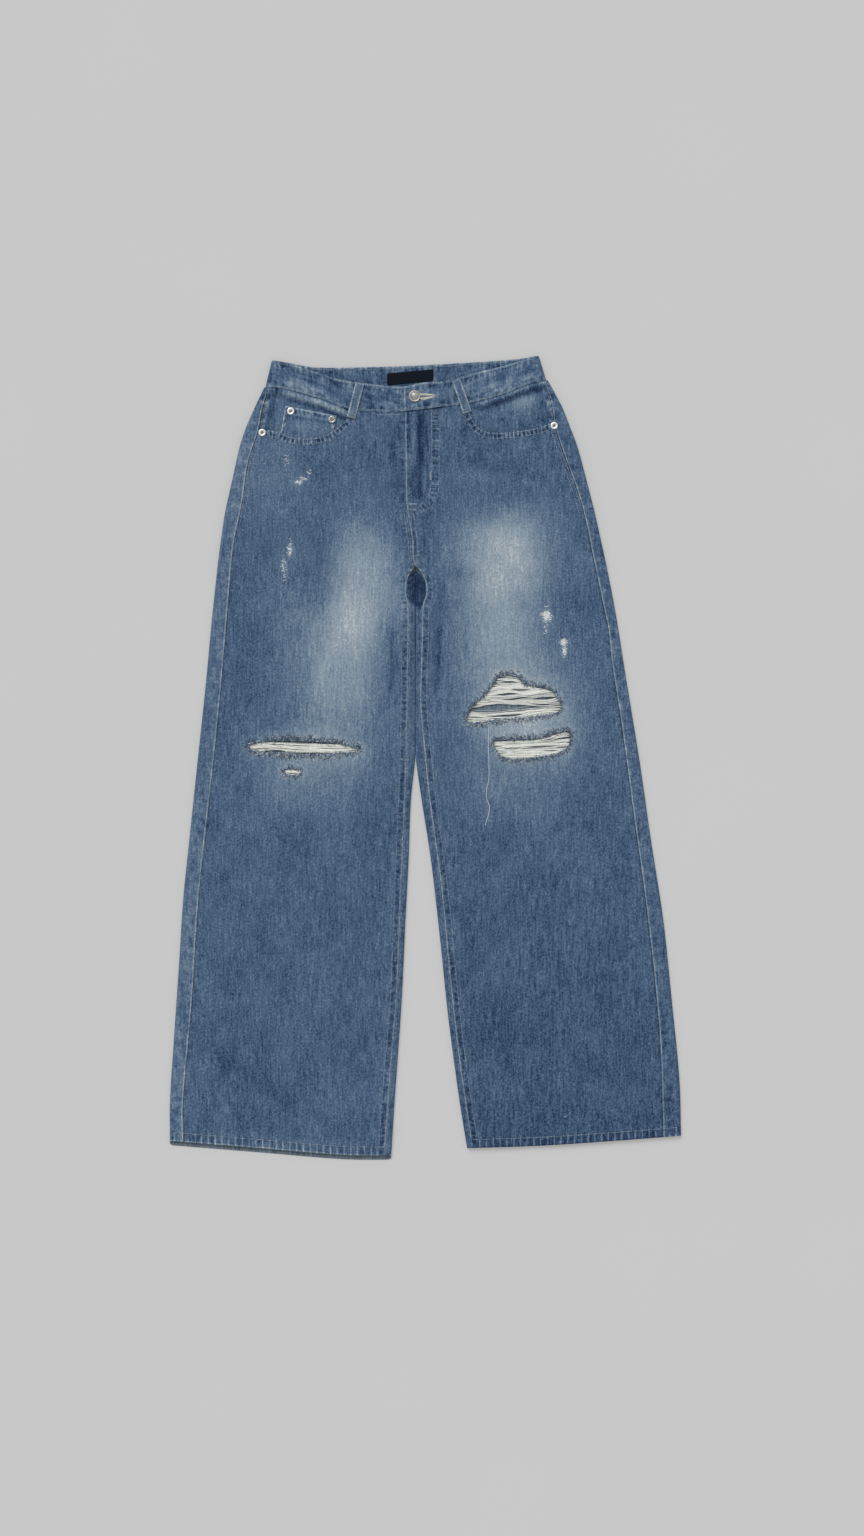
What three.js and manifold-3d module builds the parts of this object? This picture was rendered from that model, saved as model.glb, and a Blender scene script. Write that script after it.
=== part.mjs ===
// Ripped wide-leg denim jeans, buttoned, lying flat on their back with the fly up. Millimetres.
// X runs across the legs, Y from the hems (-) to the waist (+), and Z up from the surface below.
// The garment's own right leg is on the -X side. Every piece of cloth is a wall: its outer face
// comes from one of the surface functions below, and its inner face lies a wall thickness behind.

import * as THREE from "three";
import { mergeVertices } from "three/addons/utils/BufferGeometryUtils.js";
import Module from "manifold-3d";

const wasm = await Module();
wasm.setup();

// ---------------------------------------------------------------- driving dimensions

const CLOTH = 1.2; // denim with its puckers
const HEM_CLOTH = 2.2; // the turned-up hem, pressed plies
const BAND_CLOTH = 2.4; // waistband: two plies and the interlining
const GAP = 0.3; // clearance at every seam
const LAYER = CLOTH + GAP; // rise of one piece lying on another
const LOOSE_TOP = 4.8; // outer height of the upper cloth where nothing lifts it
const BULK = 1.0; // extra height over the pocket bags
const HEM_HEIGHT = 12; // depth of the turned-up hem
const HEM_LIFT = 1.2; // extra height of the pressed hem
const CENTRE_BACK = -13; // x of the centre-back seam and of the valley between the legs
const CROTCH_Y = 249; // where the front rise ends and the two inseams start
const BAND_TOP = LAYER + 5.6; // outer height of the front waistband
const PAST_SEAM = 4; // how far a piece is drawn past the band seam before it is trimmed
const LOOP_WIDTH = 11.5;
const BUTTON = { x: -14, y: 470, radius: 7.6, shank: 3, rise: 3.4 };
const RIVET_RADIUS = 4.8;
const COLOURS = {
  denim: 0x4f6d8c,
  facing: 0x5a7594,
  thread: 0xc9ccc6,
  label: 0x14161a,
  metal: 0xb9b7ae,
};

// ---------------------------------------------------------------- small maths

const mix = (a, b, t) => a + (b - a) * t;
const clamp = (t) => Math.min(1, Math.max(0, t));

// 0 at `from`, 1 at `to`, smooth between them; `from` may be the larger one.
function fade(value, from, to) {
  const t = clamp((value - from) / (to - from));
  return t * t * (3 - 2 * t);
}

// A smooth curve through [position, value] pairs in rising order of position.
function through(points) {
  const slope = points.map((p, i) => {
    const a = points[Math.max(0, i - 1)];
    const b = points[Math.min(points.length - 1, i + 1)];
    return (b[1] - a[1]) / (b[0] - a[0]);
  });
  return (at) => {
    let i = 0;
    while (i < points.length - 2 && at > points[i + 1][0]) i += 1;
    const [x0, y0] = points[i];
    const [x1, y1] = points[i + 1];
    if (at <= x0) return y0 + slope[i] * (at - x0);
    if (at >= x1) return y1 + slope[i + 1] * (at - x1);
    const h = x1 - x0;
    const t = (at - x0) / h;
    const bend = slope[i] * h * (1 - t) + -slope[i + 1] * h * t;
    return mix(y0, y1, t * t * (3 - 2 * t)) + t * (1 - t) * bend;
  };
}

// ---------------------------------------------------------------- outline of the garment

// Lines that run down each leg, as x against y: the outer fold, the outseam on the front, the
// inseam on the front and the inner fold.
const LEGS = {
  right: {
    side: -1,
    outerFold: through([
      [-505, -332], [-444, -332], [-366, -327], [-262, -320], [-184, -315], [-106, -307],
      [-2, -296], [102, -285], [206, -275], [310, -262], [362, -251], [406, -241],
      [430, -233], [453, -223], [483, -209],
    ]),
    outseam: through([
      [-505, -314], [-449, -315], [-309, -303], [-184, -295], [0, -275], [112, -264],
      [231, -254], [279, -249], [328, -239], [385, -230], [426, -217], [453, -212],
      [483, -203],
    ]),
    inseam: through([
      [-523, -53], [-421, -46], [-313, -37], [-167, -31], [7, -24], [181, -21.5],
      [200, -22], [214, -25], [228, -24.5], [240, -20], [CROTCH_Y, -14],
    ]),
    innerFold: through([
      [-523, -45], [-444, -40], [-314, -31], [-210, -26], [-132, -22], [-54, -19],
      [5, CENTRE_BACK], [40, CENTRE_BACK],
    ]),
    bandCorner: 482,
    yokeSide: 450,
    facingDrop: 3,
    pocketEdge: [
      [-219, 427], [-205, 426], [-191, 424], [-174, 417.5], [-155, 415.5], [-137, 418],
      [-123, 423.5], [-110, 434], [-101, 442], [-96, 452],
    ],
  },
  left: {
    side: 1,
    outerFold: through([
      [-490, 332], [-418, 330], [-314, 320], [-210, 309], [-106, 293], [-2, 278],
      [102, 261], [206, 244], [310, 222], [362, 209], [406, 197], [430, 188],
      [453, 179], [469, 171], [491, 159],
    ]),
    outseam: through([
      [-491, 309], [-453, 308], [-370, 305], [-278, 297], [-184, 286], [-83, 272],
      [43, 255], [127, 242], [210, 234], [279, 220], [343, 199], [400, 178],
      [433, 168], [465, 162.5], [491, 153.5],
    ]),
    inseam: through([
      [-506, 60], [-389, 43], [-292, 32], [-167, 20], [-55, 5], [7, -1.5], [67, -7],
      [97, -7], [157, -5], [191, -4.5], [202, -3], [214, 1], [228, 0], [240, -5],
      [CROTCH_Y, -11.5],
    ]),
    innerFold: through([
      [-506, 54], [-444, 44], [-340, 30], [-236, 19], [-132, 7], [-54, -5],
      [5, CENTRE_BACK], [40, CENTRE_BACK],
    ]),
    bandCorner: 491,
    yokeSide: 462,
    facingDrop: 1.8,
    pocketEdge: [
      [175, 437], [162, 435], [153, 432], [138, 428], [116, 424.5], [95, 423], [83, 423.5],
      [71, 428.5], [64, 435.5], [59, 445], [55, 461],
    ],
  },
};

// Lines that run across, as y against x.
const frontBandTop = through([
  [-201, 518], [-155, 506], [-112, 492], [-66, 485.5], [-29, 482.5], [-3, 487.5],
  [25, 489.5], [57, 498.5], [101, 509.5], [149, 524],
]);
const frontBandSeam = through([
  [-209, 482], [-185, 480], [-132, 465.5], [-102, 454], [-66, 450], [-29, 450.5],
  [11, 455], [59, 461.5], [101, 473], [138, 487], [159, 491],
]);
const backBandTop = through([
  [-201, 518], [-173, 513], [-142, 508], [-49, 509], [53, 514], [120, 519], [149, 524],
]);
const backBandSeam = through([
  [-209, 482], [-142, 473], [-49, 472], [53, 477], [120, 484], [159, 491],
]);
const hemEdge = {
  right: through([[-332, -501], [-220, -510], [-111, -519], [-60, -520], [-45, -519]]),
  left: through([[54, -506], [146, -503], [224, -498], [332, -490]]),
};
const backHemDrop = { right: 3, left: 0.5 }; // the back hem hangs this far below the front hem
const YOKE_CENTRE = 405; // y of the yoke seam at the centre back

// The fly edge, and below it the front rise, as x against y.
const riseLine = through([
  [CROTCH_Y, -14], [262, -17], [285, -18], [310, -22], [334, -25], [380, -26], [452, -27],
]);

// ---------------------------------------------------------------- how the cloth lies

// Underside of the garment. From the seat up it lies on the back pockets and the belt loops.
const under = (y) => LAYER * fade(y, 225, 250);

// Soft creases of the upper cloth: a trough has a negative height. [x, y] at both ends.
const CREASES = [
  { from: [18, 170], to: [15, 80], width: 9, height: -0.9 },
  { from: [-43, 160], to: [-45, 80], width: 9, height: -0.9 },
  { from: [-285, -370], to: [-228, -470], width: 16, height: 0.8 },
  { from: [20, 270], to: [70, 330], width: 16, height: -0.7 },
  { from: [-45, 275], to: [-95, 335], width: 16, height: -0.7 },
  { from: [-200, 330], to: [-120, 290], width: 14, height: 0.7 },
  { from: [190, 300], to: [110, 270], width: 14, height: 0.7 },
  { from: [250, -120], to: [262, -330], width: 20, height: 0.7 },
  { from: [-130, -120], to: [-120, -330], width: 22, height: 0.7 },
];

function creases(x, y) {
  let sum = 0;
  for (const { from, to, width, height } of CREASES) {
    const along = [to[0] - from[0], to[1] - from[1]];
    const length = Math.hypot(...along);
    const t = ((x - from[0]) * along[0] + (y - from[1]) * along[1]) / length;
    const off = ((x - from[0]) * along[1] - (y - from[1]) * along[0]) / length;
    const ends = fade(t, -width, width) * fade(t, length + width, length - width);
    sum += height * ends * Math.exp(-((off / width) ** 2));
  }
  return sum;
}

// The cloth bulges over the crotch, and dips between the legs, deepest where the rise seam
// turns under.
const valleyDepth = through([
  [-40, 0], [5, 0.6], [60, 1], [150, 2], [185, 3.8], [205, 6.2], [228, 6], [250, 2.6],
  [272, 0], [300, 0],
]);
const MOUND = { y: 214, height: 5.5, halfWidth: 60, halfLength: 75 };

function crotchShape(x, y) {
  const across = x - CENTRE_BACK;
  const mound = Math.exp(-((across / MOUND.halfWidth) ** 2) - ((y - MOUND.y) / MOUND.halfLength) ** 2);
  const width = mix(6, 9, fade(y, 170, 200));
  const depth = y > -40 && y < 272 ? valleyDepth(y) : 0;
  return MOUND.height * mound - depth * Math.exp(-((across / width) ** 2));
}

// Outer height of the upper cloth layer.
function upper(x, y) {
  const seat = LAYER * fade(y, 225, 250);
  const bulk = BULK * fade(y, 370, 405);
  const hem = HEM_LIFT * fade(y, -470, -488);
  return LOOSE_TOP + seat + bulk + hem + crotchShape(x, y) + creases(x, y);
}

// The fly of the left front lies over the edge of the right front.
const flyWidth = (y) => 22 * fade(y, 286, 312);
const flyRaise = (x, y) => LAYER * fade(y, 262, 285) * fade(x - riseLine(y), 48, 26);

// ---------------------------------------------------------------- surfaces

// A stretch of `count` equal steps from a to b.
const steps = (a, b, count) => Array.from({ length: count + 1 }, (_, i) => mix(a, b, i / count));

// The back of a leg, from its outseam edge on the front, round the outer fold, across the
// back and, below the crotch, round the inner fold to its inseam edge on the front.
// s counts the five stretches: 0-1 wrap, 1-2 fold, 2-3 back, 3-4 inner fold, 4-5 inner wrap.
function backSection(leg, s, y) {
  const { side } = leg;
  const outer = leg.outerFold(y);
  const low = under(y);
  const radius = (upper(outer - side * 4, y) - low) / 2;
  const foldAt = outer - side * radius;
  const innerAt = innerEdge(leg, y);
  const innerRadius = (upper(innerAt, y) - low) / 2;
  const innerFoldAt = innerAt + side * innerRadius;
  if (s <= 1) {
    const clear = GAP * mix(0.5, 1.5, fade(y, 345, 390));
    const x = mix(leg.outseam(y) + side * clear, foldAt, s);
    return [x, y, mix(upper(x, y), low + 2 * radius, fade(s, 0.4, 1))];
  }
  if (s <= 2) {
    const turn = (s - 1) * Math.PI;
    return [foldAt + side * radius * Math.sin(turn), y, low + radius * (1 + Math.cos(turn))];
  }
  // Above the crotch the inner end unrolls and runs flat to the centre-back seam.
  const flat = fade(y, 232, 256);
  const seam = CENTRE_BACK + side * (GAP / 2);
  const flatStart = seam + side * 14;
  const backEnd = mix(innerFoldAt, flatStart, flat);
  if (s <= 3) return [mix(foldAt, backEnd, s - 2), y, low];
  const flatX = mix(flatStart, seam, (s - 3) / 2);
  let x = 0;
  let z = 0;
  if (s <= 4) {
    const turn = (s - 3) * Math.PI;
    x = innerFoldAt - side * innerRadius * Math.sin(turn);
    z = low + innerRadius * (1 - Math.cos(turn));
  } else {
    const inseam = y < CROTCH_Y ? leg.inseam(y) : leg.inseam(CROTCH_Y);
    const end = side * Math.max(side * (inseam - side * (GAP / 2)), side * innerFoldAt + 0.4);
    x = mix(innerFoldAt, end, s - 4);
    z = mix(low + 2 * innerRadius, upper(x, y), fade(s, 4, 4.6));
  }
  return [mix(x, flatX, flat), y, mix(z, low, flat)];
}

// The outside of the inner fold: the legs touch between the crotch and the place they part.
function innerEdge(leg, y) {
  const fold = leg.innerFold(Math.min(y, 5));
  return y > 5 ? CENTRE_BACK + leg.side * (GAP / 2) : fold + leg.side * (GAP / 2);
}

// The front of a leg, from the fly, the rise and the inseam (s = 0) to the outseam (s = 1).
function frontSection(leg, s, y) {
  const { side } = leg;
  const inseam = leg.inseam(Math.min(y, CROTCH_Y));
  const fly = riseLine(y) + side * (GAP / 2) + (side < 0 ? flyWidth(y) : 0);
  const inner = y < CROTCH_Y ? inseam + side * (GAP / 2) : fly;
  const x = mix(inner, leg.outseam(y) - side * (GAP / 2), s);
  const raise = side > 0 ? flyRaise(x, y) : 0;
  return [x, y, upper(x, y) + raise];
}

// Puts a section's row at its nominal height, and bends the rows near the ends so that the
// first one follows `top` and the last one follows `bottom`, both y against x.
function fitRow(section, s, row, top, bottom, ends) {
  let y = row;
  for (let pass = 0; pass < 4; pass += 1) {
    const x = section(s, y)[0];
    if (row > ends.upperFrom) {
      const t = (row - ends.upperFrom) / (ends.upperTo - ends.upperFrom);
      y = mix(ends.upperFrom, top(x, s), t);
    } else if (row < ends.lowerFrom) {
      const t = (row - ends.lowerFrom) / (ends.lowerTo - ends.lowerFrom);
      y = mix(ends.lowerFrom, bottom(x, s), t);
    }
  }
  return section(s, y);
}

// ---------------------------------------------------------------- solids

function geometryFrom(positions, triangles) {
  const geometry = new THREE.BufferGeometry();
  geometry.setAttribute("position", new THREE.Float32BufferAttribute(positions.flat(), 3));
  geometry.setIndex(triangles.flat());
  return geometry;
}

// A closed wall whose outer face is at(u, v) over the grid us x vs; its inner face lies
// `thick` behind. `outward` is 1 or -1: which side of the grid the outer face looks to.
function wall(us, vs, at, thick, outward) {
  const step = 1e-3;
  const inside = (list, value) => Math.min(list.at(-1), Math.max(list[0], value));
  const outer = [];
  const inner = [];
  for (const u of us) {
    for (const v of vs) {
      const p = new THREE.Vector3(...at(u, v));
      const du = new THREE.Vector3(...at(inside(us, u + step), v));
      du.sub(new THREE.Vector3(...at(inside(us, u - step), v)));
      const dv = new THREE.Vector3(...at(u, inside(vs, v + step)));
      dv.sub(new THREE.Vector3(...at(u, inside(vs, v - step))));
      const back = du.cross(dv).normalize().multiplyScalar(-outward * thick(p.x, p.y));
      outer.push(p.toArray());
      inner.push(p.clone().add(back).toArray());
    }
  }
  const wide = vs.length;
  const half = outer.length;
  const triangles = [];
  const quad = (a, b, c, d) => triangles.push([a, b, c], [a, c, d]);
  for (let i = 0; i < us.length - 1; i += 1) {
    for (let j = 0; j < wide - 1; j += 1) {
      const a = i * wide + j;
      quad(a, a + wide, a + wide + 1, a + 1);
      quad(half + a, half + a + 1, half + a + wide + 1, half + a + wide);
    }
    const last = i * wide + wide - 1;
    quad(i * wide + wide, i * wide, half + i * wide, half + i * wide + wide);
    quad(last, last + wide, half + last + wide, half + last);
  }
  const end = (us.length - 1) * wide;
  for (let j = 0; j < wide - 1; j += 1) {
    quad(j, j + 1, half + j + 1, half + j);
    quad(end + j + 1, end + j, half + end + j, half + end + j + 1);
  }
  if (outward < 0) triangles.forEach((t) => t.reverse());
  return geometryFrom([...outer, ...inner], triangles);
}

function toSolid(geometry) {
  const bare = geometry.clone();
  bare.deleteAttribute("normal");
  bare.deleteAttribute("uv");
  const merged = mergeVertices(bare, 1e-4);
  const vertProperties = new Float32Array(merged.attributes.position.array);
  const triVerts = new Uint32Array(merged.index.array);
  return new wasm.Manifold(new wasm.Mesh({ numProp: 3, vertProperties, triVerts }));
}

function fromSolid(solid) {
  const { numProp, vertProperties, triVerts } = solid.getMesh();
  const positions = [];
  for (let i = 0; i < vertProperties.length; i += numProp) {
    positions.push([...vertProperties.slice(i, i + 3)]);
  }
  return geometryFrom(positions, [[...triVerts]]);
}

// An upright prism over a closed outline, for cuts right through the cloth.
function prism(outline, low, high) {
  const shape = new THREE.Shape(outline.map(([x, y]) => new THREE.Vector2(x, y)));
  const geometry = new THREE.ExtrudeGeometry(shape, { depth: high - low, bevelEnabled: false });
  return geometry.translate(0, 0, low);
}

function loop(points, divisions) {
  const knots = points.map(([x, y]) => new THREE.Vector3(x, y, 0));
  const curve = new THREE.CatmullRomCurve3(knots, true, "centripetal");
  return curve.getPoints(divisions).slice(0, -1).map((p) => [p.x, p.y]);
}

// ---------------------------------------------------------------- the group

const jeans = new THREE.Group();

function add(name, geometry, colour, roughness = 0.9, metalness = 0) {
  geometry.computeVertexNormals();
  const material = new THREE.MeshStandardMaterial({ color: colour, roughness, metalness });
  const mesh = new THREE.Mesh(geometry, material);
  mesh.name = name;
  jeans.add(mesh);
}

// ---------------------------------------------------------------- rips

// Outlines of the holes worn through the fronts, each crossed by its bared weft.
const RIPS = {
  knee: {
    leg: "right",
    outline: [
      [-232, 16], [-205, 22], [-165, 23], [-120, 20], [-85, 11], [-110, 7.5], [-150, 6],
      [-195, 8], [-222, 10],
    ],
    divisions: 36,
  },
  knee_small: {
    leg: "right",
    outline: [[-187, -17], [-176, -13.5], [-163, -15], [-164, -21], [-180, -21.5]],
    divisions: 15,
  },
  upper: {
    leg: "left",
    outline: [
      [96, 107], [120, 106], [129, 96], [154, 92], [166, 86], [176, 70], [171, 60],
      [129, 53], [94, 50.5], [66, 46.5], [53, 49], [61, 67], [79, 85], [88, 96],
    ],
    divisions: 48,
  },
  lower: {
    leg: "left",
    outline: [
      [88, 23], [113, 24], [145, 26], [167, 32.5], [186, 36], [188, 26], [184, 13],
      [166, 5], [145, 2], [118, -1], [102, 1], [92, 11],
    ],
    divisions: 40,
  },
};

// The bared weft of a rip: a thin wall level with the cloth, clear of the hole's edge.
function ripThreads(rip) {
  const centre = rip.outline.reduce((sum, p) => [sum[0] + p[0], sum[1] + p[1]], [0, 0]);
  const [cx, cy] = centre.map((c) => c / rip.outline.length);
  const halfX = Math.max(...rip.outline.map(([x]) => Math.abs(x - cx)));
  const halfY = Math.max(...rip.outline.map(([, y]) => Math.abs(y - cy)));
  const sheet = wall(
    steps(cx - halfX - 3, cx + halfX + 3, 6),
    steps(cy - halfY - 3, cy + halfY + 3, 3),
    (x, y) => [x, y, upper(x, y) - 0.1],
    () => 1,
    1,
  );
  const smooth = loop(rip.outline, rip.divisions);
  const shrunk = smooth.map(([x, y], i) => {
    const before = smooth.at(i - 1);
    const after = smooth[(i + 1) % smooth.length];
    const run = [after[0] - before[0], after[1] - before[1]];
    const length = Math.hypot(...run);
    const turn = windsLeft(smooth) ? 1 : -1;
    return [x - (turn * run[1] * GAP * 1.4) / length, y + (turn * run[0] * GAP * 1.4) / length];
  });
  return fromSolid(toSolid(sheet).intersect(toSolid(prism(shrunk, 0, 20))));
}

function windsLeft(outline) {
  const twiceArea = outline.reduce((sum, [x, y], i) => {
    const [nx, ny] = outline[(i + 1) % outline.length];
    return sum + x * ny - nx * y;
  }, 0);
  return twiceArea > 0;
}

// ---------------------------------------------------------------- waistband

// s counts the stretches of the band: 0-1 the left end over the fly to the left side,
// 1-2 the left fold, 2-3 the back, 3-4 the right fold, 4-5 the right side to the under end.
// t goes from the top edge (0) to the seam (1).
const OVER_END = -28;
const UNDER_END = 4;
const BAND_FOLDS = {
  left: { top: [149, 524], seam: [159, 491] },
  right: { top: [-201, 518], seam: [-209, 482] },
};
const BAND_STRETCHES = [
  ...steps(0, 1, 11),
  ...steps(1, 2, 6).slice(1),
  ...steps(2, 3, 12).slice(1),
  ...steps(3, 4, 6).slice(1),
  ...steps(4, 5, 10).slice(1),
];

function bandFold(name, t) {
  const { top, seam } = BAND_FOLDS[name];
  return mix(top[0], seam[0], t);
}

function bandY(x, t, front) {
  const top = front ? frontBandTop(x) : backBandTop(x);
  const seam = (front ? frontBandSeam(x) : backBandSeam(x)) + GAP / 2;
  return mix(top, seam, t);
}

function bandPoint(s, t) {
  const radius = (BAND_TOP - LAYER) / 2;
  const leftAt = bandFold("left", t) - radius;
  const rightAt = bandFold("right", t) + radius;
  if (s <= 1) {
    const x = mix(OVER_END, leftAt, s);
    const over = (BAND_CLOTH + GAP) * fade(x, 38, 8);
    return [x, bandY(x, t, true), BAND_TOP + over];
  }
  if (s <= 2) {
    const turn = (s - 1) * Math.PI;
    const x = leftAt + radius * Math.sin(turn);
    return [x, bandY(leftAt, t, turn < Math.PI / 2), LAYER + radius * (1 + Math.cos(turn))];
  }
  if (s <= 3) {
    const x = mix(leftAt, rightAt, s - 2);
    return [x, bandY(x, t, false), LAYER];
  }
  if (s <= 4) {
    const turn = (s - 3) * Math.PI;
    const x = rightAt - radius * Math.sin(turn);
    return [x, bandY(rightAt, t, turn > Math.PI / 2), LAYER + radius * (1 - Math.cos(turn))];
  }
  const x = mix(rightAt, UNDER_END, s - 4);
  return [x, bandY(x, t, true), BAND_TOP];
}

// The buttonhole: an eyelet round the shank with a slit towards the left side.
function buttonhole() {
  const eye = BUTTON.shank + 0.6;
  const slit = 0.9;
  const turn = Math.asin(slit / eye);
  const round = steps(turn, 2 * Math.PI - turn, 16).map((angle) => [
    BUTTON.x + eye * Math.cos(angle),
    BUTTON.y + eye * Math.sin(angle),
  ]);
  return [...round, [BUTTON.x + 22, BUTTON.y - slit], [BUTTON.x + 22, BUTTON.y + slit]];
}

function waistband() {
  const ring = wall(BAND_STRETCHES, steps(0, 1, 3), bandPoint, () => BAND_CLOTH, -1);
  const cut = prism(buttonhole(), BAND_TOP + GAP / 2, BAND_TOP + 8);
  return fromSolid(toSolid(ring).subtract(toSolid(cut)));
}

// Cuts a piece that runs past the band seam back to it, on the front and on the back alike.
function trimToBand(geometry) {
  const middle = (BAND_TOP + LAYER) / 2;
  let solid = toSolid(geometry);
  for (const front of [true, false]) {
    const stretches = BAND_STRETCHES.filter((s) => (front ? s <= 1 || s >= 4 : s >= 2 && s <= 3));
    const seam = stretches.map((s) => bandPoint(s, 1)).sort((a, b) => a[0] - b[0]);
    const edge = seam.map(([x, y]) => [x, y - GAP]);
    const [first, last] = [edge[0], edge.at(-1)];
    const sides = [[-300, first[1] - 3 * GAP], ...edge, [300, last[1] - 3 * GAP]];
    const cut = [...sides, [300, 560], [-300, 560]];
    const [low, high] = front ? [middle, 40] : [-5, middle];
    solid = solid.subtract(toSolid(prism(cut, low, high)));
  }
  return fromSolid(solid);
}

// ---------------------------------------------------------------- front panels

const PANEL_ROWS = [
  -520, -508, -506, -480, -440, -380, -310, -240, -170, -100, -40, 5, 60, 115, 160, 185, 202,
  214, 228, 240, 249, 262, 285, 310, 345, 375, 392, 408, 424, 438, 452,
];
const FRONT_ENDS = { upperFrom: 375, upperTo: 452, lowerFrom: -480, lowerTo: -520 };

const hemThick = (edge) => (x, y) => (y < edge(x) + HEM_HEIGHT ? HEM_CLOTH : CLOTH);

function frontPanel(name) {
  const leg = LEGS[name];
  const top = (x) => frontBandSeam(x) + PAST_SEAM;
  const bottom = hemEdge[name];
  const section = (s, y) => frontSection(leg, s, y);
  const at = (s, row) => fitRow(section, s, row, top, bottom, FRONT_ENDS);
  let solid = toSolid(wall(steps(0, 1, 9), PANEL_ROWS, at, hemThick(bottom), leg.side));
  const edge = leg.pocketEdge;
  const opening = new THREE.SplineCurve(edge.map(([x, y]) => new THREE.Vector2(x, y)));
  const scoop = opening.getPoints(26).map((p) => [p.x, p.y]);
  scoop.push([edge.at(-1)[0], 530], [edge[0][0], 530]);
  solid = solid.subtract(toSolid(prism(scoop, 0, 30)));
  for (const rip of Object.values(RIPS).filter((r) => r.leg === name)) {
    solid = solid.subtract(toSolid(prism(loop(rip.outline, rip.divisions), 0, 30)));
  }
  return trimToBand(fromSolid(solid));
}

// ---------------------------------------------------------------- back panels and yokes

const BACK_STRETCHES = [
  ...steps(0, 1, 2),
  ...steps(1, 2, 5).slice(1),
  ...steps(2, 3, 4).slice(1),
  ...steps(3, 4, 4).slice(1),
  ...steps(4, 5, 2).slice(1),
];

// The yoke seam falls from the side to the centre back; past the side fold it goes on rising.
function yokeSeam(leg, x, s) {
  const fold = leg.outerFold(leg.yokeSide);
  const reach = Math.abs(fold - CENTRE_BACK);
  const fromCentre = Math.abs(x - CENTRE_BACK);
  const unfolded = s < 1.5 ? 2 * reach - fromCentre : fromCentre;
  return mix(YOKE_CENTRE, leg.yokeSide, unfolded / reach);
}

function backPanel(name) {
  const leg = LEGS[name];
  const edge = hemEdge[name];
  const bottom = (x, s) => edge(x) - backHemDrop[name] * fade(s, 1, 2) * fade(s, 4, 3);
  const top = (x, s) => yokeSeam(leg, x, s) - GAP / 2;
  const ends = { upperFrom: 345, upperTo: 424, lowerFrom: -480, lowerTo: -520 };
  const section = (s, y) => backSection(leg, s, y);
  const at = (s, row) => fitRow(section, s, row, top, bottom, ends);
  const rows = PANEL_ROWS.filter((row) => row <= ends.upperTo);
  return wall(BACK_STRETCHES, rows, at, hemThick(edge), leg.side);
}

function backYoke(name) {
  const leg = LEGS[name];
  const band = (x, s) => (s < 1.5 ? frontBandSeam(x) : backBandSeam(x)) + PAST_SEAM;
  const at = (s, t) => {
    let y = leg.yokeSide;
    for (let pass = 0; pass < 4; pass += 1) {
      const x = backSection(leg, s, y)[0];
      y = mix(yokeSeam(leg, x, s) + GAP / 2, band(x, s), t);
    }
    return backSection(leg, s, y);
  };
  return trimToBand(wall(BACK_STRETCHES, steps(0, 1, 3), at, () => CLOTH, leg.side));
}

// ---------------------------------------------------------------- pockets

// The facing behind a front pocket. It dips under the front and rises to the band seam.
function facingHeight(leg, x, y) {
  const seam = frontBandSeam(x);
  const clear = fade(leg.side * (x - leg.pocketEdge.at(-1)[0]), 2, 16);
  return upper(x, y) - leg.facingDrop + 1.4 * fade(y, seam - 16, seam - 3) * clear;
}

function pocketFacing(name) {
  const leg = LEGS[name];
  const mouth = leg.pocketEdge.at(-1)[0];
  const at = (s, t) => {
    let y = 440;
    let x = 0;
    for (let pass = 0; pass < 4; pass += 1) {
      x = mix(mouth - leg.side * 9, leg.outseam(y) - leg.side * (GAP / 2), s);
      y = mix(404, frontBandSeam(x) + PAST_SEAM, t);
    }
    return [x, y, facingHeight(leg, x, y)];
  };
  return trimToBand(wall(steps(0, 1, 7), steps(0, 1, 6), at, () => CLOTH, leg.side));
}

// The coin pocket lies on the right facing, and its lower part is under the front.
const coinTop = (x, y) => facingHeight(LEGS.right, x, y) + LAYER;

function coinPocket() {
  const top = { inner: [-115, 445], outer: [-182, 458] };
  const foot = { inner: [-124, 406], outer: [-191, 406] };
  const at = (s, t) => {
    const x = mix(mix(foot.inner[0], foot.outer[0], s), mix(top.inner[0], top.outer[0], s), t);
    const y = mix(mix(foot.inner[1], foot.outer[1], s), mix(top.inner[1], top.outer[1], s), t);
    return [x, y, coinTop(x, y)];
  };
  return wall(steps(0, 1, 5), steps(0, 1, 4), at, () => CLOTH, LEGS.right.side);
}

// A patch pocket on the seat: flat, face down, with a pointed foot.
function backPocket(side) {
  const across = (x) => CENTRE_BACK + side * x;
  const mouth = [[across(45), 388], [across(180), 398]];
  const foot = [[across(174), 284], [across(114), 258], [across(56), 276]];
  return prism([...mouth, ...foot], 0, CLOTH);
}

// ---------------------------------------------------------------- belt loops and label

// A loop on the front: from the band's top edge, over the seam and onto the front panel.
function frontLoop(top, foot) {
  const across = new THREE.Vector2(top[1] - foot[1], foot[0] - top[0]).normalize();
  const at = (w, t) => {
    const x = mix(foot[0], top[0], t) + across.x * w * LOOP_WIDTH;
    const y = mix(foot[1], top[1], t) + across.y * w * LOOP_WIDTH;
    const cloth = Math.max(upper(x, y), BAND_TOP);
    return [x, y, cloth + GAP + CLOTH + 0.8 * Math.sin(Math.PI * clamp((t - 0.1) / 0.9))];
  };
  return wall([-0.5, 0.5], steps(0, 1, 7), at, () => CLOTH, 1);
}

// A loop on the back: flat under the band, which lies on it.
function backLoop(x) {
  const high = backBandTop(x) - 0.5;
  const half = LOOP_WIDTH / 2;
  const foot = high - 46;
  return prism([[x - half, foot], [x + half, foot], [x + half, high], [x - half, high]], 0, CLOTH);
}

// The bare cloth label inside the back of the band.
function label() {
  const corners = [[-49, 485.6], [8, 491.8], [8.6, 505], [-49.5, 498.4]];
  const low = LAYER + BAND_CLOTH + GAP;
  return prism(corners, low, low + 0.8);
}

// ---------------------------------------------------------------- metal trim

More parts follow.
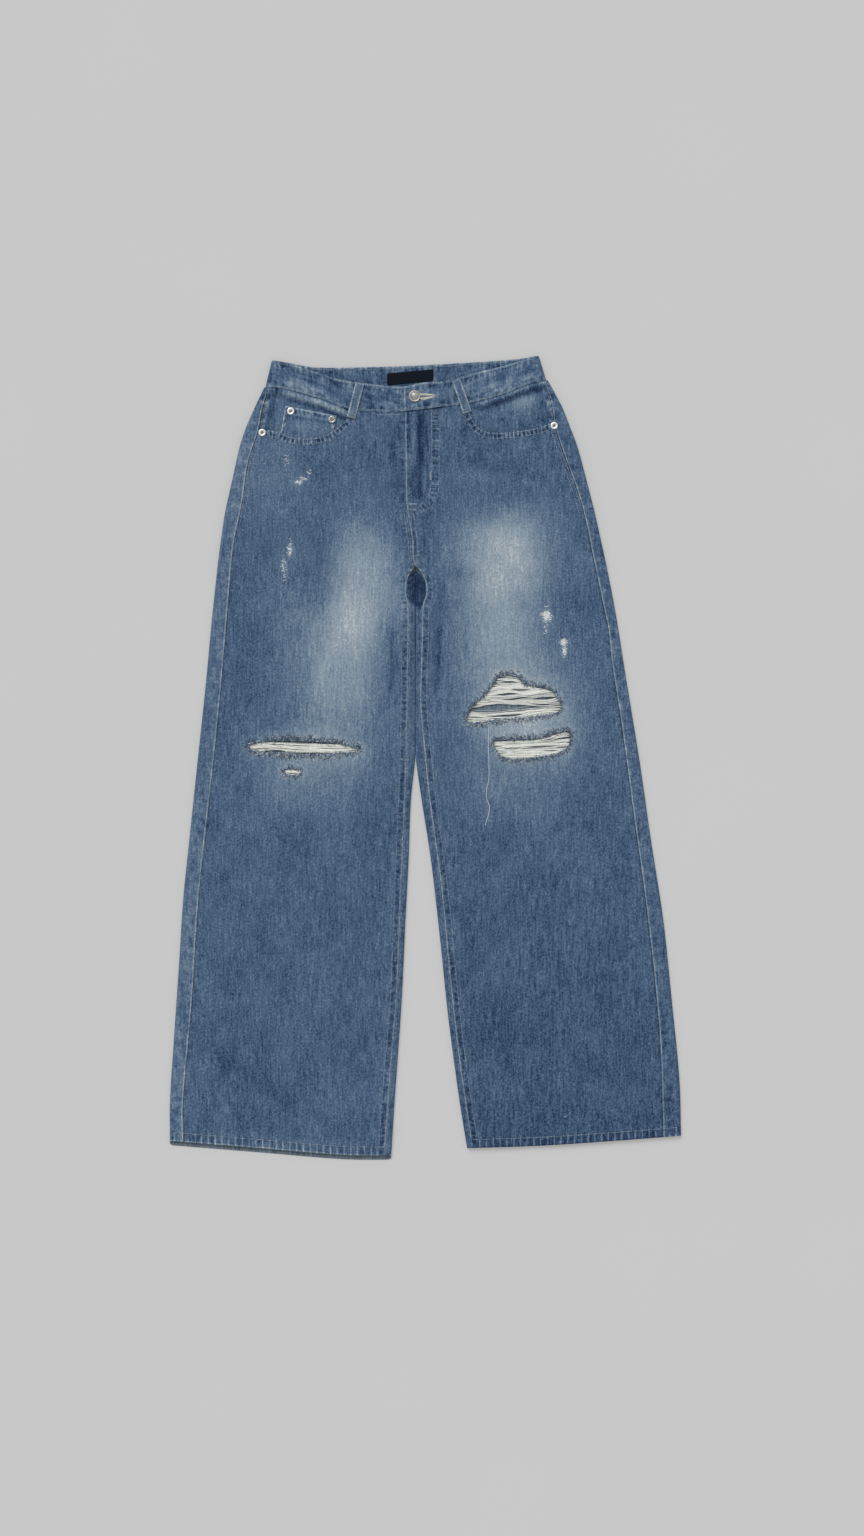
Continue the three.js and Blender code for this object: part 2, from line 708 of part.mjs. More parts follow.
function turned(profile, segments, x, y, z) {
  const geometry = new THREE.LatheGeometry(profile.map(([r, h]) => new THREE.Vector2(r, h)), segments);
  return geometry.rotateX(Math.PI / 2).translate(x, y, z);
}

// A domed jeans button on its shank, which passes the eyelet and ends on the under end.
function button() {
  const { x, y, radius, shank, rise } = BUTTON;
  const foot = BAND_TOP + GAP;
  const underCap = BAND_CLOTH + 2 * GAP;
  return turned(
    [
      [0, 0], [shank, 0], [shank, underCap], [radius - 0.6, underCap], [radius, underCap + 0.8],
      [radius, underCap + 1.7], [radius - 1.2, underCap + 2.5], [radius - 2.6, underCap + 2.3],
      [radius * 0.35, underCap + rise - 0.3], [0, underCap + rise],
    ],
    24, x, y, foot,
  );
}

// A rivet: a rounded ring with a raised centre.
function rivet(x, y, z) {
  const r = RIVET_RADIUS;
  return turned(
    [[0, 0], [r, 0], [r, 0.5], [r - 1, 1.3], [r - 2.2, 0.8], [r * 0.3, 1.5], [0, 1.6]],
    16, x, y, z,
  );
}

const RIVETS = [
  { name: "pocket_right", x: -212, y: 423, height: upper },
  { name: "pocket_left", x: 167, y: 432, height: upper },
  { name: "coin_outer", x: -175, y: 451, height: coinTop },
  { name: "coin_inner", x: -121.5, y: 440, height: coinTop },
];

// ---------------------------------------------------------------- assembly

add("waistband", waistband(), COLOURS.denim);
for (const name of ["right", "left"]) {
  const { side } = LEGS[name];
  add("front_panel_" + name, frontPanel(name), COLOURS.denim);
  add("back_panel_" + name, backPanel(name), COLOURS.denim);
  add("back_yoke_" + name, backYoke(name), COLOURS.denim);
  add("back_pocket_" + name, backPocket(side), COLOURS.denim);
  add("pocket_facing_" + name, pocketFacing(name), COLOURS.facing);
}
add("coin_pocket", coinPocket(), COLOURS.denim);
add("belt_loop_front_right", frontLoop([-85, 487], [-96.5, 442]), COLOURS.denim);
add("belt_loop_front_left", frontLoop([40, 491], [54.5, 448.5]), COLOURS.denim);
add("belt_loop_back_right", backLoop(-120), COLOURS.denim);
add("belt_loop_back_centre", backLoop(-24), COLOURS.denim);
add("belt_loop_back_left", backLoop(72), COLOURS.denim);
add("label", label(), COLOURS.label, 0.7);
add("button", button(), COLOURS.metal, 0.35, 0.9);
for (const { name, x, y, height } of RIVETS) {
  add("rivet_" + name, rivet(x, y, height(x, y) + GAP), COLOURS.metal, 0.35, 0.9);
}
for (const [name, rip] of Object.entries(RIPS)) {
  add("rip_threads_" + name, ripThreads(rip), COLOURS.thread);
}

// The origin is under the middle of the garment, on the surface it lies on.
const middle = new THREE.Box3().setFromObject(jeans).getCenter(new THREE.Vector3());
jeans.position.set(-middle.x, -middle.y, 0);

export default jeans;
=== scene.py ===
"""Ripped wide-leg jeans, laid flat on their back with the fly up.

Sizes and places are in millimetres in the garment's own frame: X across the legs, Y from the
hems to the waist, Z up from the surface. They become metres when a mesh is made. The
garment's own right leg is on the -X side.
"""
import math
from types import SimpleNamespace
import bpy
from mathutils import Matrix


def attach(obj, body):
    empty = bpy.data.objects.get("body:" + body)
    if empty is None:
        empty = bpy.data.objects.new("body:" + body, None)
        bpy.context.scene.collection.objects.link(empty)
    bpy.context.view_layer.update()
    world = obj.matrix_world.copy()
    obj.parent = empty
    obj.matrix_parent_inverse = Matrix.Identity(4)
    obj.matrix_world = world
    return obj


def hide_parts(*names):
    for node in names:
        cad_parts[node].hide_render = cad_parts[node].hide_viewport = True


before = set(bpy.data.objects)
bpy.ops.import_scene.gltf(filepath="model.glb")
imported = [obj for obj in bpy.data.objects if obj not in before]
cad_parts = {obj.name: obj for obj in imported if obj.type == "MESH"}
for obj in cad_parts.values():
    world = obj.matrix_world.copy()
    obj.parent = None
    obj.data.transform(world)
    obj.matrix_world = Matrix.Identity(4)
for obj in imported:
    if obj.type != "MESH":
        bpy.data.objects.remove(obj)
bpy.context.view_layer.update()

import bpy
import numpy as np
from mathutils.bvhtree import BVHTree

MM = 0.001
FRAME_SHIFT = np.array([0.1, -0.65, 0.0])  # puts the garment's box over the frame's origin

# ---- driving dimensions

CLOTH = 1.0  # wall of the denim
BAND_CLOTH = 2.2  # wall of the doubled waistband
LAYER = 1.5  # one layer of cloth with the air beside it
LOOSE_TOP = 4.8  # outer height of a leg's upper cloth, before its folds
BULK = 1.0  # extra height above the hips
HEM_LIFT = 1.2  # extra height at the hems
CENTRE_BACK = -13.0  # X of the centre back seam
CROTCH_Y = 249.0
BAND_TOP = LAYER + 5.6
SEAM_HALF_GAP = 0.15
LOOP_WIDTH, BACK_LOOP_LENGTH = 11.5, 46
BUTTON = (-14.0, 470.0)
FACING_FOOT = 404  # lower end of the pocket facings
CELL = 2.5  # spacing of the panel grids
PANEL_WIDTH = 245.0  # of a front, for the count of its columns
LOWEST_ROW = -520  # where the panel grids start, before they are bent to the hems
FRONT_TOP_ROW, BACK_TOP_ROW = 452, 424  # where they end
BEND_DOWN = -480  # rows below this height follow the hem
FRONT_BEND_UP, BACK_BEND_UP = 375, 345  # rows above this height follow the top seam
LOWEST_STITCH = 0.45  # centre of a thread that lies on the floor
STITCH_STEP = 0.25  # stitches are placed to this accuracy
RAY_START = 0.1  # metres above or below the cloth

# ---- small maths


def mix(a, b, t):
    return a + (b - a) * t


def fade(value, start, end):
    """0 at start, 1 at end, smooth between them; start may be the larger one."""
    t = np.clip((np.asarray(value, float) - start) / (end - start), 0, 1)
    return t * t * (3 - 2 * t)


def bell(value, width):
    return np.exp(-((np.asarray(value, float) / width) ** 2))


def through(points):
    """A smooth curve through (position, value) pairs in rising order of position."""
    xs, ys = (np.array(c, float) for c in zip(*points))
    slope = np.empty_like(ys)
    slope[1:-1] = (ys[2:] - ys[:-2]) / (xs[2:] - xs[:-2])
    slope[0] = (ys[1] - ys[0]) / (xs[1] - xs[0])
    slope[-1] = (ys[-1] - ys[-2]) / (xs[-1] - xs[-2])

    def curve(at):
        at = np.asarray(at, float)
        i = np.clip(np.searchsorted(xs, at) - 1, 0, len(xs) - 2)
        h = xs[i + 1] - xs[i]
        t = np.clip((at - xs[i]) / h, 0, 1)
        bend = slope[i] * h * (1 - t) - slope[i + 1] * h * t
        value = mix(ys[i], ys[i + 1], t * t * (3 - 2 * t)) + t * (1 - t) * bend
        below = np.minimum(at - xs[0], 0) * slope[0]
        above = np.maximum(at - xs[-1], 0) * slope[-1]
        return value + below + above

    return curve


def value_noise(seed):
    """A smooth random field over the plane, from -1 to 1, one cell to a unit."""
    size = 64
    lattice = np.random.default_rng(seed).uniform(-1, 1, (size, size))

    def field(u, v):
        u, v = np.broadcast_arrays(np.asarray(u, float), np.asarray(v, float))
        iu, iv = np.floor(u).astype(int), np.floor(v).astype(int)
        fu, fv = u - iu, v - iv
        fu, fv = fu * fu * (3 - 2 * fu), fv * fv * (3 - 2 * fv)
        a = lattice[iu % size, iv % size]
        b = lattice[(iu + 1) % size, iv % size]
        c = lattice[iu % size, (iv + 1) % size]
        d = lattice[(iu + 1) % size, (iv + 1) % size]
        return mix(mix(a, b, fu), mix(c, d, fu), fv)

    return field


NOISE = [value_noise(seed) for seed in range(8)]


def steps(a, b, count):
    return np.linspace(a, b, count + 1)


LAST_STRETCH = 4.9999  # just under 5, so that the end of a piece stays on its last stretch


def stretches(*counts):
    """A position along a piece that runs 0-1 over its first stretch, 1-2 over the next..."""
    runs = [steps(k, k + 1, count)[k > 0:] for k, count in enumerate(counts)]
    return np.concatenate(runs)


def fold_angle(s):
    """How far round a fold a point is, where stretches 1-2 and 3-4 are the folds."""
    turn = (s - np.floor(np.minimum(s, LAST_STRETCH))) * np.pi
    return np.where((s == 2) | (s == 4), np.pi, turn)


def patch(columns, rows, start=0, end=1):
    """The s and t of a grid of points: s from start to end along a row, t from 0 to 1 up it."""
    return np.broadcast_arrays(steps(start, end, columns)[None, :], steps(0, 1, rows)[:, None])


# ---- outline of the garment

LEGS = {
    "right": SimpleNamespace(
        side=-1,
        outer_fold=through([
            (-505, -332), (-444, -332), (-366, -327), (-262, -320), (-184, -315),
            (-106, -307), (-2, -296), (102, -285), (206, -275), (310, -262), (362, -251),
            (406, -241), (430, -233), (453, -223), (483, -209),
        ]),
        outseam=through([
            (-505, -314), (-449, -315), (-309, -303), (-184, -295), (0, -275), (112, -264),
            (231, -254), (279, -249), (328, -239), (385, -230), (426, -217), (453, -212),
            (483, -203),
        ]),
        inseam=through([
            (-523, -53), (-421, -46), (-313, -37), (-167, -31), (7, -24), (181, -21.5),
            (200, -22), (214, -25), (228, -24.5), (240, -20), (CROTCH_Y, -14),
        ]),
        inner_fold=through([
            (-523, -45), (-444, -40), (-314, -31), (-210, -26), (-132, -22), (-54, -19),
            (5, CENTRE_BACK), (40, CENTRE_BACK),
        ]),
        yoke_side=450.0,
        facing_drop=3.0,
        pocket_edge=[
            (-219, 427), (-205, 426), (-191, 424), (-174, 417.5), (-155, 415.5),
            (-137, 418), (-123, 423.5), (-110, 434), (-101, 442), (-96, 452),
        ],
        hem=through([(-332, -496.5), (-220, -505.5), (-111, -514.5), (-60, -515.5), (-45, -515)]),
        back_hem_drop=6.0,
    ),
    "left": SimpleNamespace(
        side=1,
        outer_fold=through([
            (-490, 332), (-418, 330), (-314, 320), (-210, 309), (-106, 293), (-2, 278),
            (102, 261), (206, 244), (310, 222), (362, 209), (406, 197), (430, 188),
            (453, 179), (469, 171), (491, 159),
        ]),
        outseam=through([
            (-491, 309), (-453, 308), (-370, 305), (-278, 297), (-184, 286), (-83, 272),
            (43, 255), (127, 242), (167, 238), (193, 232.5), (219, 227), (245, 221.5), (271, 216),
            (297, 211), (343, 199), (400, 178),
            (433, 168), (465, 162.5), (491, 153.5),
        ]),
        inseam=through([
            (-506, 60), (-389, 43), (-292, 32), (-167, 20), (-55, 5), (7, -1.5), (67, -7),
            (97, -7), (157, -5), (191, -4.5), (202, -3), (214, 1), (228, 0), (240, -5),
            (CROTCH_Y, -11.5),
        ]),
        inner_fold=through([
            (-506, 54), (-444, 44), (-340, 30), (-236, 19), (-132, 7), (-54, -5),
            (5, CENTRE_BACK), (40, CENTRE_BACK),
        ]),
        yoke_side=462.0,
        facing_drop=1.8,
        pocket_edge=[
            (175, 437), (162, 435), (153, 432), (138, 428), (116, 424.5), (95, 423),
            (83, 423.5), (71, 428.5), (64, 435.5), (59, 445), (55, 461),
        ],
        hem=through([(54, -506), (146, -503), (224, -498), (332, -490)]),
        back_hem_drop=0.5,
    ),
}

front_band_top = through([
    (-201, 518), (-155, 506), (-112, 492), (-66, 485.5), (-29, 482.5), (-3, 487.5),
    (25, 489.5), (57, 498.5), (101, 509.5), (149, 524),
])
front_band_seam = through([
    (-209, 482), (-185, 480), (-132, 465.5), (-102, 454), (-66, 450), (-29, 450.5),
    (11, 455), (59, 461.5), (101, 473), (138, 487), (159, 491),
])
back_band_top = through([
    (-201, 518), (-173, 513), (-142, 508), (-49, 509), (53, 514), (120, 519), (149, 524),
])
back_band_seam = through([
    (-209, 482), (-142, 473), (-49, 472), (53, 477), (120, 484), (159, 491),
])
rise_line = through([
    (CROTCH_Y, -14), (262, -17), (285, -18), (310, -22), (334, -25), (380, -26), (452, -27),
])
YOKE_CENTRE = 405.0


def unit_tangents(line):
    tangent = np.gradient(line, axis=0)
    return tangent / np.linalg.norm(tangent, axis=1)[:, None]


def lengths_along(line):
    return np.concatenate([[0], np.cumsum(np.hypot(*np.diff(line, axis=0).T))])


def curve_through(points, spacing=1.5, closed=False):
    """A dense smooth line through the points, as an array of x, y."""
    p = np.array(points, float)
    p = np.vstack([p[-1:], p, p[:2]]) if closed else np.vstack([p[:1], p, p[-1:]])
    line = []
    for a, b, c, d in zip(p[:-3], p[1:-2], p[2:-1], p[3:]):
        count = max(2, int(np.hypot(*(c - b)) / spacing))
        t = np.linspace(0, 1, count, endpoint=False)[:, None]
        line.append(
            0.5 * ((2 * b) + (c - a) * t + (2 * a - 5 * b + 4 * c - d) * t ** 2
                   + (3 * b - a - 3 * c + d) * t ** 3)
        )
    if not closed:
        line.append(p[-2:-1])
    return np.vstack(line)


def inside(outline, x, y):
    """Which of the points lie inside a closed outline."""
    hit = np.zeros(np.shape(x), bool)
    for (x0, y0), (x1, y1) in zip(outline, np.roll(outline, -1, axis=0)):
        if y0 == y1:
            continue
        crosses = (y0 > y) != (y1 > y)
        hit ^= crosses & (x < (x1 - x0) * (y - y0) / (y1 - y0) + x0)
    return hit


def nearest_on(line, x, y):
    """Distance to a dense line, distance along it, and the index of its nearest point."""
    shape = np.shape(x)
    p = np.stack([np.ravel(x), np.ravel(y)], 1).astype(float)
    along = lengths_along(line)
    index = np.empty(len(p), int)
    for start in range(0, len(p), 4000):
        block = p[start:start + 4000]
        gap = (block[:, None, 0] - line[None, :, 0]) ** 2
        gap += (block[:, None, 1] - line[None, :, 1]) ** 2
        index[start:start + 4000] = gap.argmin(1)
    off = p - line[index]
    t = unit_tangents(line)[index]
    s = along[index] + (off * t).sum(1)
    d = np.abs(off[:, 0] * t[:, 1] - off[:, 1] * t[:, 0])
    reach = np.hypot(*off.T)
    ends = (index == 0) | (index == len(line) - 1)
    d = np.where(ends, reach, d)
    return d.reshape(shape), s.reshape(shape), index.reshape(shape)


# ---- how the cloth lies

# Soft creases as (from, to, half width, height); a trough has a negative height.
CREASES = [
    ((18, 170), (15, 80), 9, -0.9),
    ((-43, 160), (-45, 80), 9, -0.9),
    ((-285, -370), (-228, -470), 16, 0.8),
    ((20, 270), (70, 330), 16, -0.7),
    ((-45, 275), (-95, 335), 16, -0.7),
    ((-200, 330), (-120, 290), 14, 0.7),
    ((190, 300), (110, 270), 14, 0.7),
    ((250, -120), (262, -330), 20, 0.7),
    ((-130, -120), (-120, -330), 22, 0.7),
    ((-232, -40), (-250, -330), 20, -0.8),
    ((-70, -60), (-92, -300), 15, -0.7),
    ((-262, -398), (-172, -456), 11, -0.9),
    ((96, -100), (84, -360), 17, -0.8),
    ((170, -60), (190, -430), 24, 0.8),
    ((40, 392), (150, 368), 7, -0.5),
    ((45, 372), (165, 350), 8, 0.5),
    ((-70, 385), (-170, 362), 8, -0.5),
    ((-75, 366), (-175, 344), 8, 0.5),
    ((-225, 60), (-120, 42), 12, 0.6),
    ((60, 140), (170, 122), 12, 0.6),
]

valley_depth = through([
    (-40, 0), (5, 0.6), (60, 1), (150, 2), (185, 3.8), (205, 6.2), (228, 6), (250, 2.6),
    (272, 0), (300, 0),
])


def soft_lines(x, y, lines):
    """The sum of soft straight marks, each (from, to, half width, amount)."""
    total = np.zeros(np.broadcast(x, y).shape)
    for (x0, y0), (x1, y1), width, amount in lines:
        length = math.hypot(x1 - x0, y1 - y0)
        ux, uy = (x1 - x0) / length, (y1 - y0) / length
        t = (x - x0) * ux + (y - y0) * uy
        off = (x - x0) * uy - (y - y0) * ux
        ends = fade(t, -width, width) * fade(t, length + width, length - width)
        total += amount * ends * bell(off, width)
    return total


def crotch_shape(x, y):
    across = x - CENTRE_BACK
    mound = 5.5 * bell(across, 60) * bell(y - 214, 75)
    width = mix(6, 9, fade(y, 170, 200))
    depth = np.where((y > -40) & (y < 272), valley_depth(y), 0)
    return mound - depth * bell(across / width, 1)


def under(y):
    """Height of the lower cloth's outer face: the seat rests on the pockets and loops."""
    return LAYER * fade(y, 225, 250)


def upper(x, y):
    """Outer height of the upper cloth, with its largest folds."""
    x, y = np.asarray(x, float), np.asarray(y, float)
    bulk = BULK * fade(y, 370, 405)
    hem = HEM_LIFT * fade(y, -470, -488)
    return LOOSE_TOP + under(y) + bulk + hem + crotch_shape(x, y) + soft_lines(x, y, CREASES)


def fly_raise(x, y):
    return LAYER * fade(y, 262, 285) * fade(x - rise_line(y), 48, 26)


# ---- seams and their puckers


class Seams:
    """For the points of one piece: the nearest seam line, and the puckers beside it."""

    def __init__(self, shape):
        self.relief = np.zeros(shape)
        self.near = np.full(shape, 99.0)
        self.along = np.zeros(shape)
        self.pale = np.zeros(shape)
        self.reach = np.full(shape, 5.0)
        self.ripple = np.zeros(shape)
        self.ropes = np.zeros(shape)

    def add(self, d, s, pitch=8.0, reach=8.0, height=0.4, pale=0.8, ripple=0.3, seed=0,
            ropes=0.0):
        """d is the distance from the seam and s the distance along it, both in millimetres.
        pale is how worn its edge is, and below zero it paints the edge dark as shade beside
        the seam; ripple is how strongly its puckers are marked, and ropes how clearly thin
        ridges stand across it."""
        waves = NOISE[seed](s / pitch * 1.15, d / 30)
        self.relief += height * waves * fade(d, 0.2, 1.6) * fade(d, reach * 1.4, reach * 0.8)
        closer = (d < self.near) & (d > -2)
        for field, value in (
            ("near", d), ("along", s / pitch + 17 * seed), ("pale", pale), ("reach", reach),
            ("ripple", ripple), ("ropes", ropes),
        ):
            setattr(self, field, np.where(closer, value, getattr(self, field)))


def panel_relief(x, y):
    """Slight unevenness of the washed cloth."""
    broad = 0.35 * NOISE[2](x / 45, y / 70) + 0.22 * NOISE[3](x / 19, y / 34)
    fine = 0.10 * NOISE[4](x / 7, y / 12)
    return broad + fine


# ---- wear of the dye, with painted shade and highlight along folds

# Faded places as (x, y, half width, half length, tilt in degrees, strength).
FADES = [
    (-84, 224, 40, 84, 0, 0.34),
    (-78, 262, 26, 34, 0, 0.06),
    (-120, 116, 56, 90, 8, 0.33),
    (-148, -22, 76, 50, 0, 0.21),
    (-38, 230, 20, 48, 0, 0.12),
    (-124, 154, 105, 175, 0, 0.05),
    (99, 268, 60, 56, 14, 0.41),
    (104, 280, 26, 26, 0, 0.08),
    (98, 164, 60, 78, 0, 0.33),
    (132, 52, 80, 68, 0, 0.24),
    (122, -36, 66, 44, 0, 0.12),
    (-205, 372, 42, 62, 0, 0.08),
    (100, 160, 110, 180, 0, 0.04),
    (124, 39, 48, 13, 6, 0.14),
    (-150, 34, 72, 16, 0, 0.08),
    (-150, 6, 80, 24, 0, 0.04),
    (-190, -508, 150, 16, -4, 0.08),
    (-12, -60, 26, 260, 0, -0.04),
]

# Long soft marks as (from, to, half width, change): painted shade in creases, folds and beside the
# fly, painted highlight on the ridges beside them, and other darker and paler lines.
WEAR_AND_SHADE_MARKS = [
    ((-8.2, 449), (-8.5, 398), 2.8, -0.26),
    ((-3.5, 449), (-4.5, 380), 4.8, -0.17),
    ((-23, 449), (-22.5, 400), 2.3, -0.14),
    ((-16, 445), (-15, 385), 3.6, 0.07),
    ((-7, 400), (-7.5, 336), 4.0, -0.22),
    ((-15, 376), (-14.5, 340), 6.5, -0.15),
    ((2.6, 436), (2.6, 345), 1.6, -0.14),
    ((0, 405), (0.5, 350), 1.5, 0.08),
    ((-10.5, 322), (-9, 262), 2.2, 0.12),
    ((-22, 330), (-19, 312), 5, 0.09),
    ((-14, 320), (-13, 262), 2.0, -0.08),
    ((-3, 318), (-2, 262), 2.2, -0.07),
    ((-31, 392), (-30, 330), 3.0, -0.12),
    ((-46, 437), (-37, 340), 5.5, -0.09),
    ((-34, 447), (-60, 449), 2, 0.12),
    ((20, 170), (15, 86), 3.0, -0.16),
    ((-43, 168), (-45, 88), 3.0, -0.14),
    ((40, 392), (150, 368), 7, -0.035),
    ((45, 372), (165, 350), 7, 0.04),
    ((-70, 385), (-170, 362), 8, -0.03),
    ((-75, 366), (-175, 344), 8, 0.035),
    ((-160, 250), (-165, 60), 14, -0.04),
    ((-271, -384), (-170, -450), 12, -0.09),
    ((-187, 466), (-187, 432), 4, -0.10),
    ((40, 245), (62, 228), 9, -0.09),
    ((22, 230), (12, 120), 5, -0.10),
    ((-135, 300), (-140, 120), 9, -0.05),
]


def wear_at(x, y):
    """How far the indigo is worn away, from 0 dark to 1 white, before the fine grain."""
    level = 0.295 - 0.055 * fade(y, -60, -400) * fade(x, -60, 60)
    for cx, cy, half_x, half_y, tilt, strength in FADES:
        c, s = math.cos(math.radians(tilt)), math.sin(math.radians(tilt))
        u = ((x - cx) * c + (y - cy) * s) / half_x
        v = ((y - cy) * c - (x - cx) * s) / half_y
        level = level + strength * np.exp(-(np.abs(u) ** 2.6 + np.abs(v) ** 3.0))
    return level + 0.045 * NOISE[5](x / 26, y / 40)


# ---- materials


def srgb(r, g, b):
    def linear(v):
        v /= 255
        return v / 12.92 if v <= 0.04045 else ((v + 0.055) / 1.055) ** 2.4

    return (linear(r), linear(g), linear(b), 1.0)


class Nodes:
    """Short hand for building a node tree."""

    def __init__(self, name):
        self.material = bpy.data.materials.new(name)
        self.material.use_nodes = True
        self.tree = self.material.node_tree
        self.shader = self.tree.nodes["Principled BSDF"]

    def node(self, kind, inputs=None, **settings):
        made = self.tree.nodes.new(kind)
        for key, value in settings.items():
            setattr(made, key, value)
        for key, value in (inputs or {}).items():
            self.put(made.inputs[key], value)
        return made

    def put(self, socket, value):
        if isinstance(value, bpy.types.NodeSocket):
            self.tree.links.new(value, socket)
        else:
            socket.default_value = value

    def maths(self, operation, *values, clamp=False):
        made = self.node("ShaderNodeMath", operation=operation, use_clamp=clamp)
        for socket, value in zip(made.inputs, values):
            self.put(socket, value)
        return made.outputs[0]

    def attribute(self, name):
        return self.node("ShaderNodeAttribute", attribute_name=name)

    def place(self, scale):
        """Object coordinates in millimetres times a scale for each axis."""
        coords = self.node("ShaderNodeTexCoord").outputs["Object"]
        size = tuple(1000 * v for v in scale)
        made = self.node("ShaderNodeMapping", {"Vector": coords, "Scale": size})
        return made.outputs["Vector"]

    def noise(self, *scale, detail=2.0, roughness=0.5):
        """Noise with one scale, or one for each axis, in cells to a millimetre."""
        scale = scale * 3 if len(scale) == 1 else scale
        inputs = {
            "Vector": self.place(scale), "Scale": 1.0, "Detail": detail, "Roughness": roughness,
        }
        return self.node("ShaderNodeTexNoise", inputs).outputs["Fac"]

    def ramp(self, factor, stops):
        made = self.node("ShaderNodeValToRGB", {"Fac": factor})
        elements = made.color_ramp.elements
        while len(elements) < len(stops):
            elements.new(0.5)
        for element, (position, colour) in zip(elements, stops):
            element.position = position
            element.color = colour
        return made.outputs["Color"]

    def bump(self, height, strength, distance):
        inputs = {"Height": height, "Strength": strength, "Distance": distance}
        normal = self.node("ShaderNodeBump", inputs).outputs["Normal"]
        self.put(self.shader.inputs["Normal"], normal)

    def paint(self, colour):
        self.put(self.shader.inputs["Base Color"], colour)

    def scaled(self, value, scale, shift):
        return self.maths("MULTIPLY_ADD", value, scale, shift)

    def finish(self, roughness, specular=0.25, metallic=0.0, sheen=0.0):
        levels = {
            "Roughness": roughness, "Specular IOR Level": specular, "Metallic": metallic,
            "Sheen Weight": sheen,
        }
        for key, value in levels.items():
            self.shader.inputs[key].default_value = value
        return self.material


INDIGO = [
    (0.0, srgb(25, 43, 71)),
    (0.2, srgb(56, 79, 107)),
    (0.4, srgb(84, 107, 133)),
    (0.6, srgb(117, 136, 154)),
    (0.8, srgb(149, 162, 173)),
    (1.0, srgb(200, 206, 208)),
]


def denim_colour(n, level, seam, band):
    """The indigo at a level of wear and painted shade, with the marks that a seam leaves beside it
    and painted shade along it where its pale is below zero.
    """
    near, along, pale = (seam.outputs[axis] for axis in "XYZ")
    reach, ripple, ropes = (band.outputs[axis] for axis in "XYZ")
    flat = n.node("ShaderNodeCombineXYZ", {"X": along, "Y": n.maths("MULTIPLY", near, 0.07)})
    spot = {"Vector": flat.outputs[0], "Scale": 1.6, "Detail": 1.5}
    wave = n.scaled(n.node("ShaderNodeTexNoise", spot).outputs["Fac"], 4.4, -2.2)
    inside_band = n.maths("SUBTRACT", 1.25, n.maths("DIVIDE", near, reach), clamp=True)
    inside_band = n.maths("MULTIPLY", inside_band, 3.0, clamp=True)
    wave = n.maths("MULTIPLY", wave, n.maths("MULTIPLY", inside_band, ripple))
    # A hem ropes: thin worn ridges stand across it at nearly even steps.
    turn = n.maths("MULTIPLY", n.scaled(wave, 0.5, along), math.pi)
    ridge = n.maths("ABSOLUTE", n.maths("SINE", turn))
    ridge = n.maths("SUBTRACT", 1.0, n.maths("MULTIPLY", ridge, 1.9), clamp=True)
    ridge = n.maths("MULTIPLY", n.scaled(ridge, 0.42, -0.10), inside_band)
    wave = n.maths("ADD", wave, n.maths("MULTIPLY", ridge, ropes))
    # The edge of a seam is worn pale; where pale is below zero it is painted dark, as shade beside
    # the seam.
    edge = n.maths("SUBTRACT", 1.6, n.maths("DIVIDE", near, 1.5), clamp=True)
    edge = n.maths("MULTIPLY", n.maths("MULTIPLY", edge, pale), 0.33)
    level = n.maths("ADD", level, n.maths("ADD", wave, edge))
    return n.ramp(level, INDIGO), wave


def denim_grain(n):
    """Slubs run down the warp; the speckle is the weft showing through it."""
    slub = n.noise(0.46, 0.040, 0.46, detail=3.0, roughness=0.7)
    speck = n.noise(0.47, 0.36, 0.47, detail=3.0, roughness=0.85)
    mottle = n.noise(0.10, 0.06, 0.10, detail=3.0, roughness=0.6)
    grain = n.scaled(slub, 0.60, -0.30)
    grain = n.maths("ADD", grain, n.scaled(speck, 1.10, -0.55))
    grain = n.maths("ADD", grain, n.scaled(mottle, 0.20, -0.10))
    return grain


def denim_material():
    n = Nodes("denim")
    wear_and_shade = n.attribute("wear_and_shade").outputs["Fac"]
    seam = n.node("ShaderNodeSeparateXYZ", {"Vector": n.attribute("seam").outputs["Vector"]})
    band = n.node("ShaderNodeSeparateXYZ", {"Vector": n.attribute("band").outputs["Vector"]})
    grain = denim_grain(n)
    # The grain is softer where the cloth is worn pale.
    strength = n.scaled(wear_and_shade, -0.75, 1.28)
    level = n.scaled(grain, strength, wear_and_shade)
    colour, wave = denim_colour(n, level, seam, band)
    n.paint(colour)
    n.bump(n.scaled(wave, 1.6, grain), 0.55, 0.0012)
    return n.finish(roughness=0.92, specular=0.15, sheen=0.04)


def reverse_material():
    """The pale back of the twill."""
    n = Nodes("denim_reverse")
    streak = n.noise(0.5, 0.05, 0.5, detail=3.0, roughness=0.6)
    colour = n.ramp(streak, [(0.3, srgb(72, 88, 106)), (0.75, srgb(132, 144, 155))])
    n.paint(colour)
    n.bump(streak, 0.3, 0.0005)
    return n.finish(roughness=0.95, specular=0.1)


def thread_material(name, tones, roughness=0.75):
    """Spun thread: the tones go from the darkest strands to the lightest."""
    n = Nodes(name)
    tone = n.attribute("tone").outputs["Fac"]
    twist = n.noise(0.9, detail=2.0)
    level = n.maths("ADD", tone, n.scaled(twist, 0.5, -0.25))
    places = np.linspace(0.05, 0.95, len(tones))
    n.paint(n.ramp(level, list(zip(places, tones))))
    n.bump(n.noise(2.5), 0.3, 0.0002)
    return n.finish(roughness=roughness, specular=0.2, sheen=0.1)


def label_material():
    n = Nodes("label_cloth")
    weave = n.node(
        "ShaderNodeTexWave",
        {"Vector": n.place((1.0, 1.0, 1.0)), "Scale": 0.25, "Distortion": 0.5},
        wave_type="BANDS", bands_direction="Y",
    ).outputs["Fac"]
    n.paint(n.ramp(weave, [(0.2, srgb(14, 19, 28)), (0.9, srgb(24, 30, 40))]))
    n.bump(weave, 0.2, 0.0003)
    return n.finish(roughness=0.9, specular=0.08)


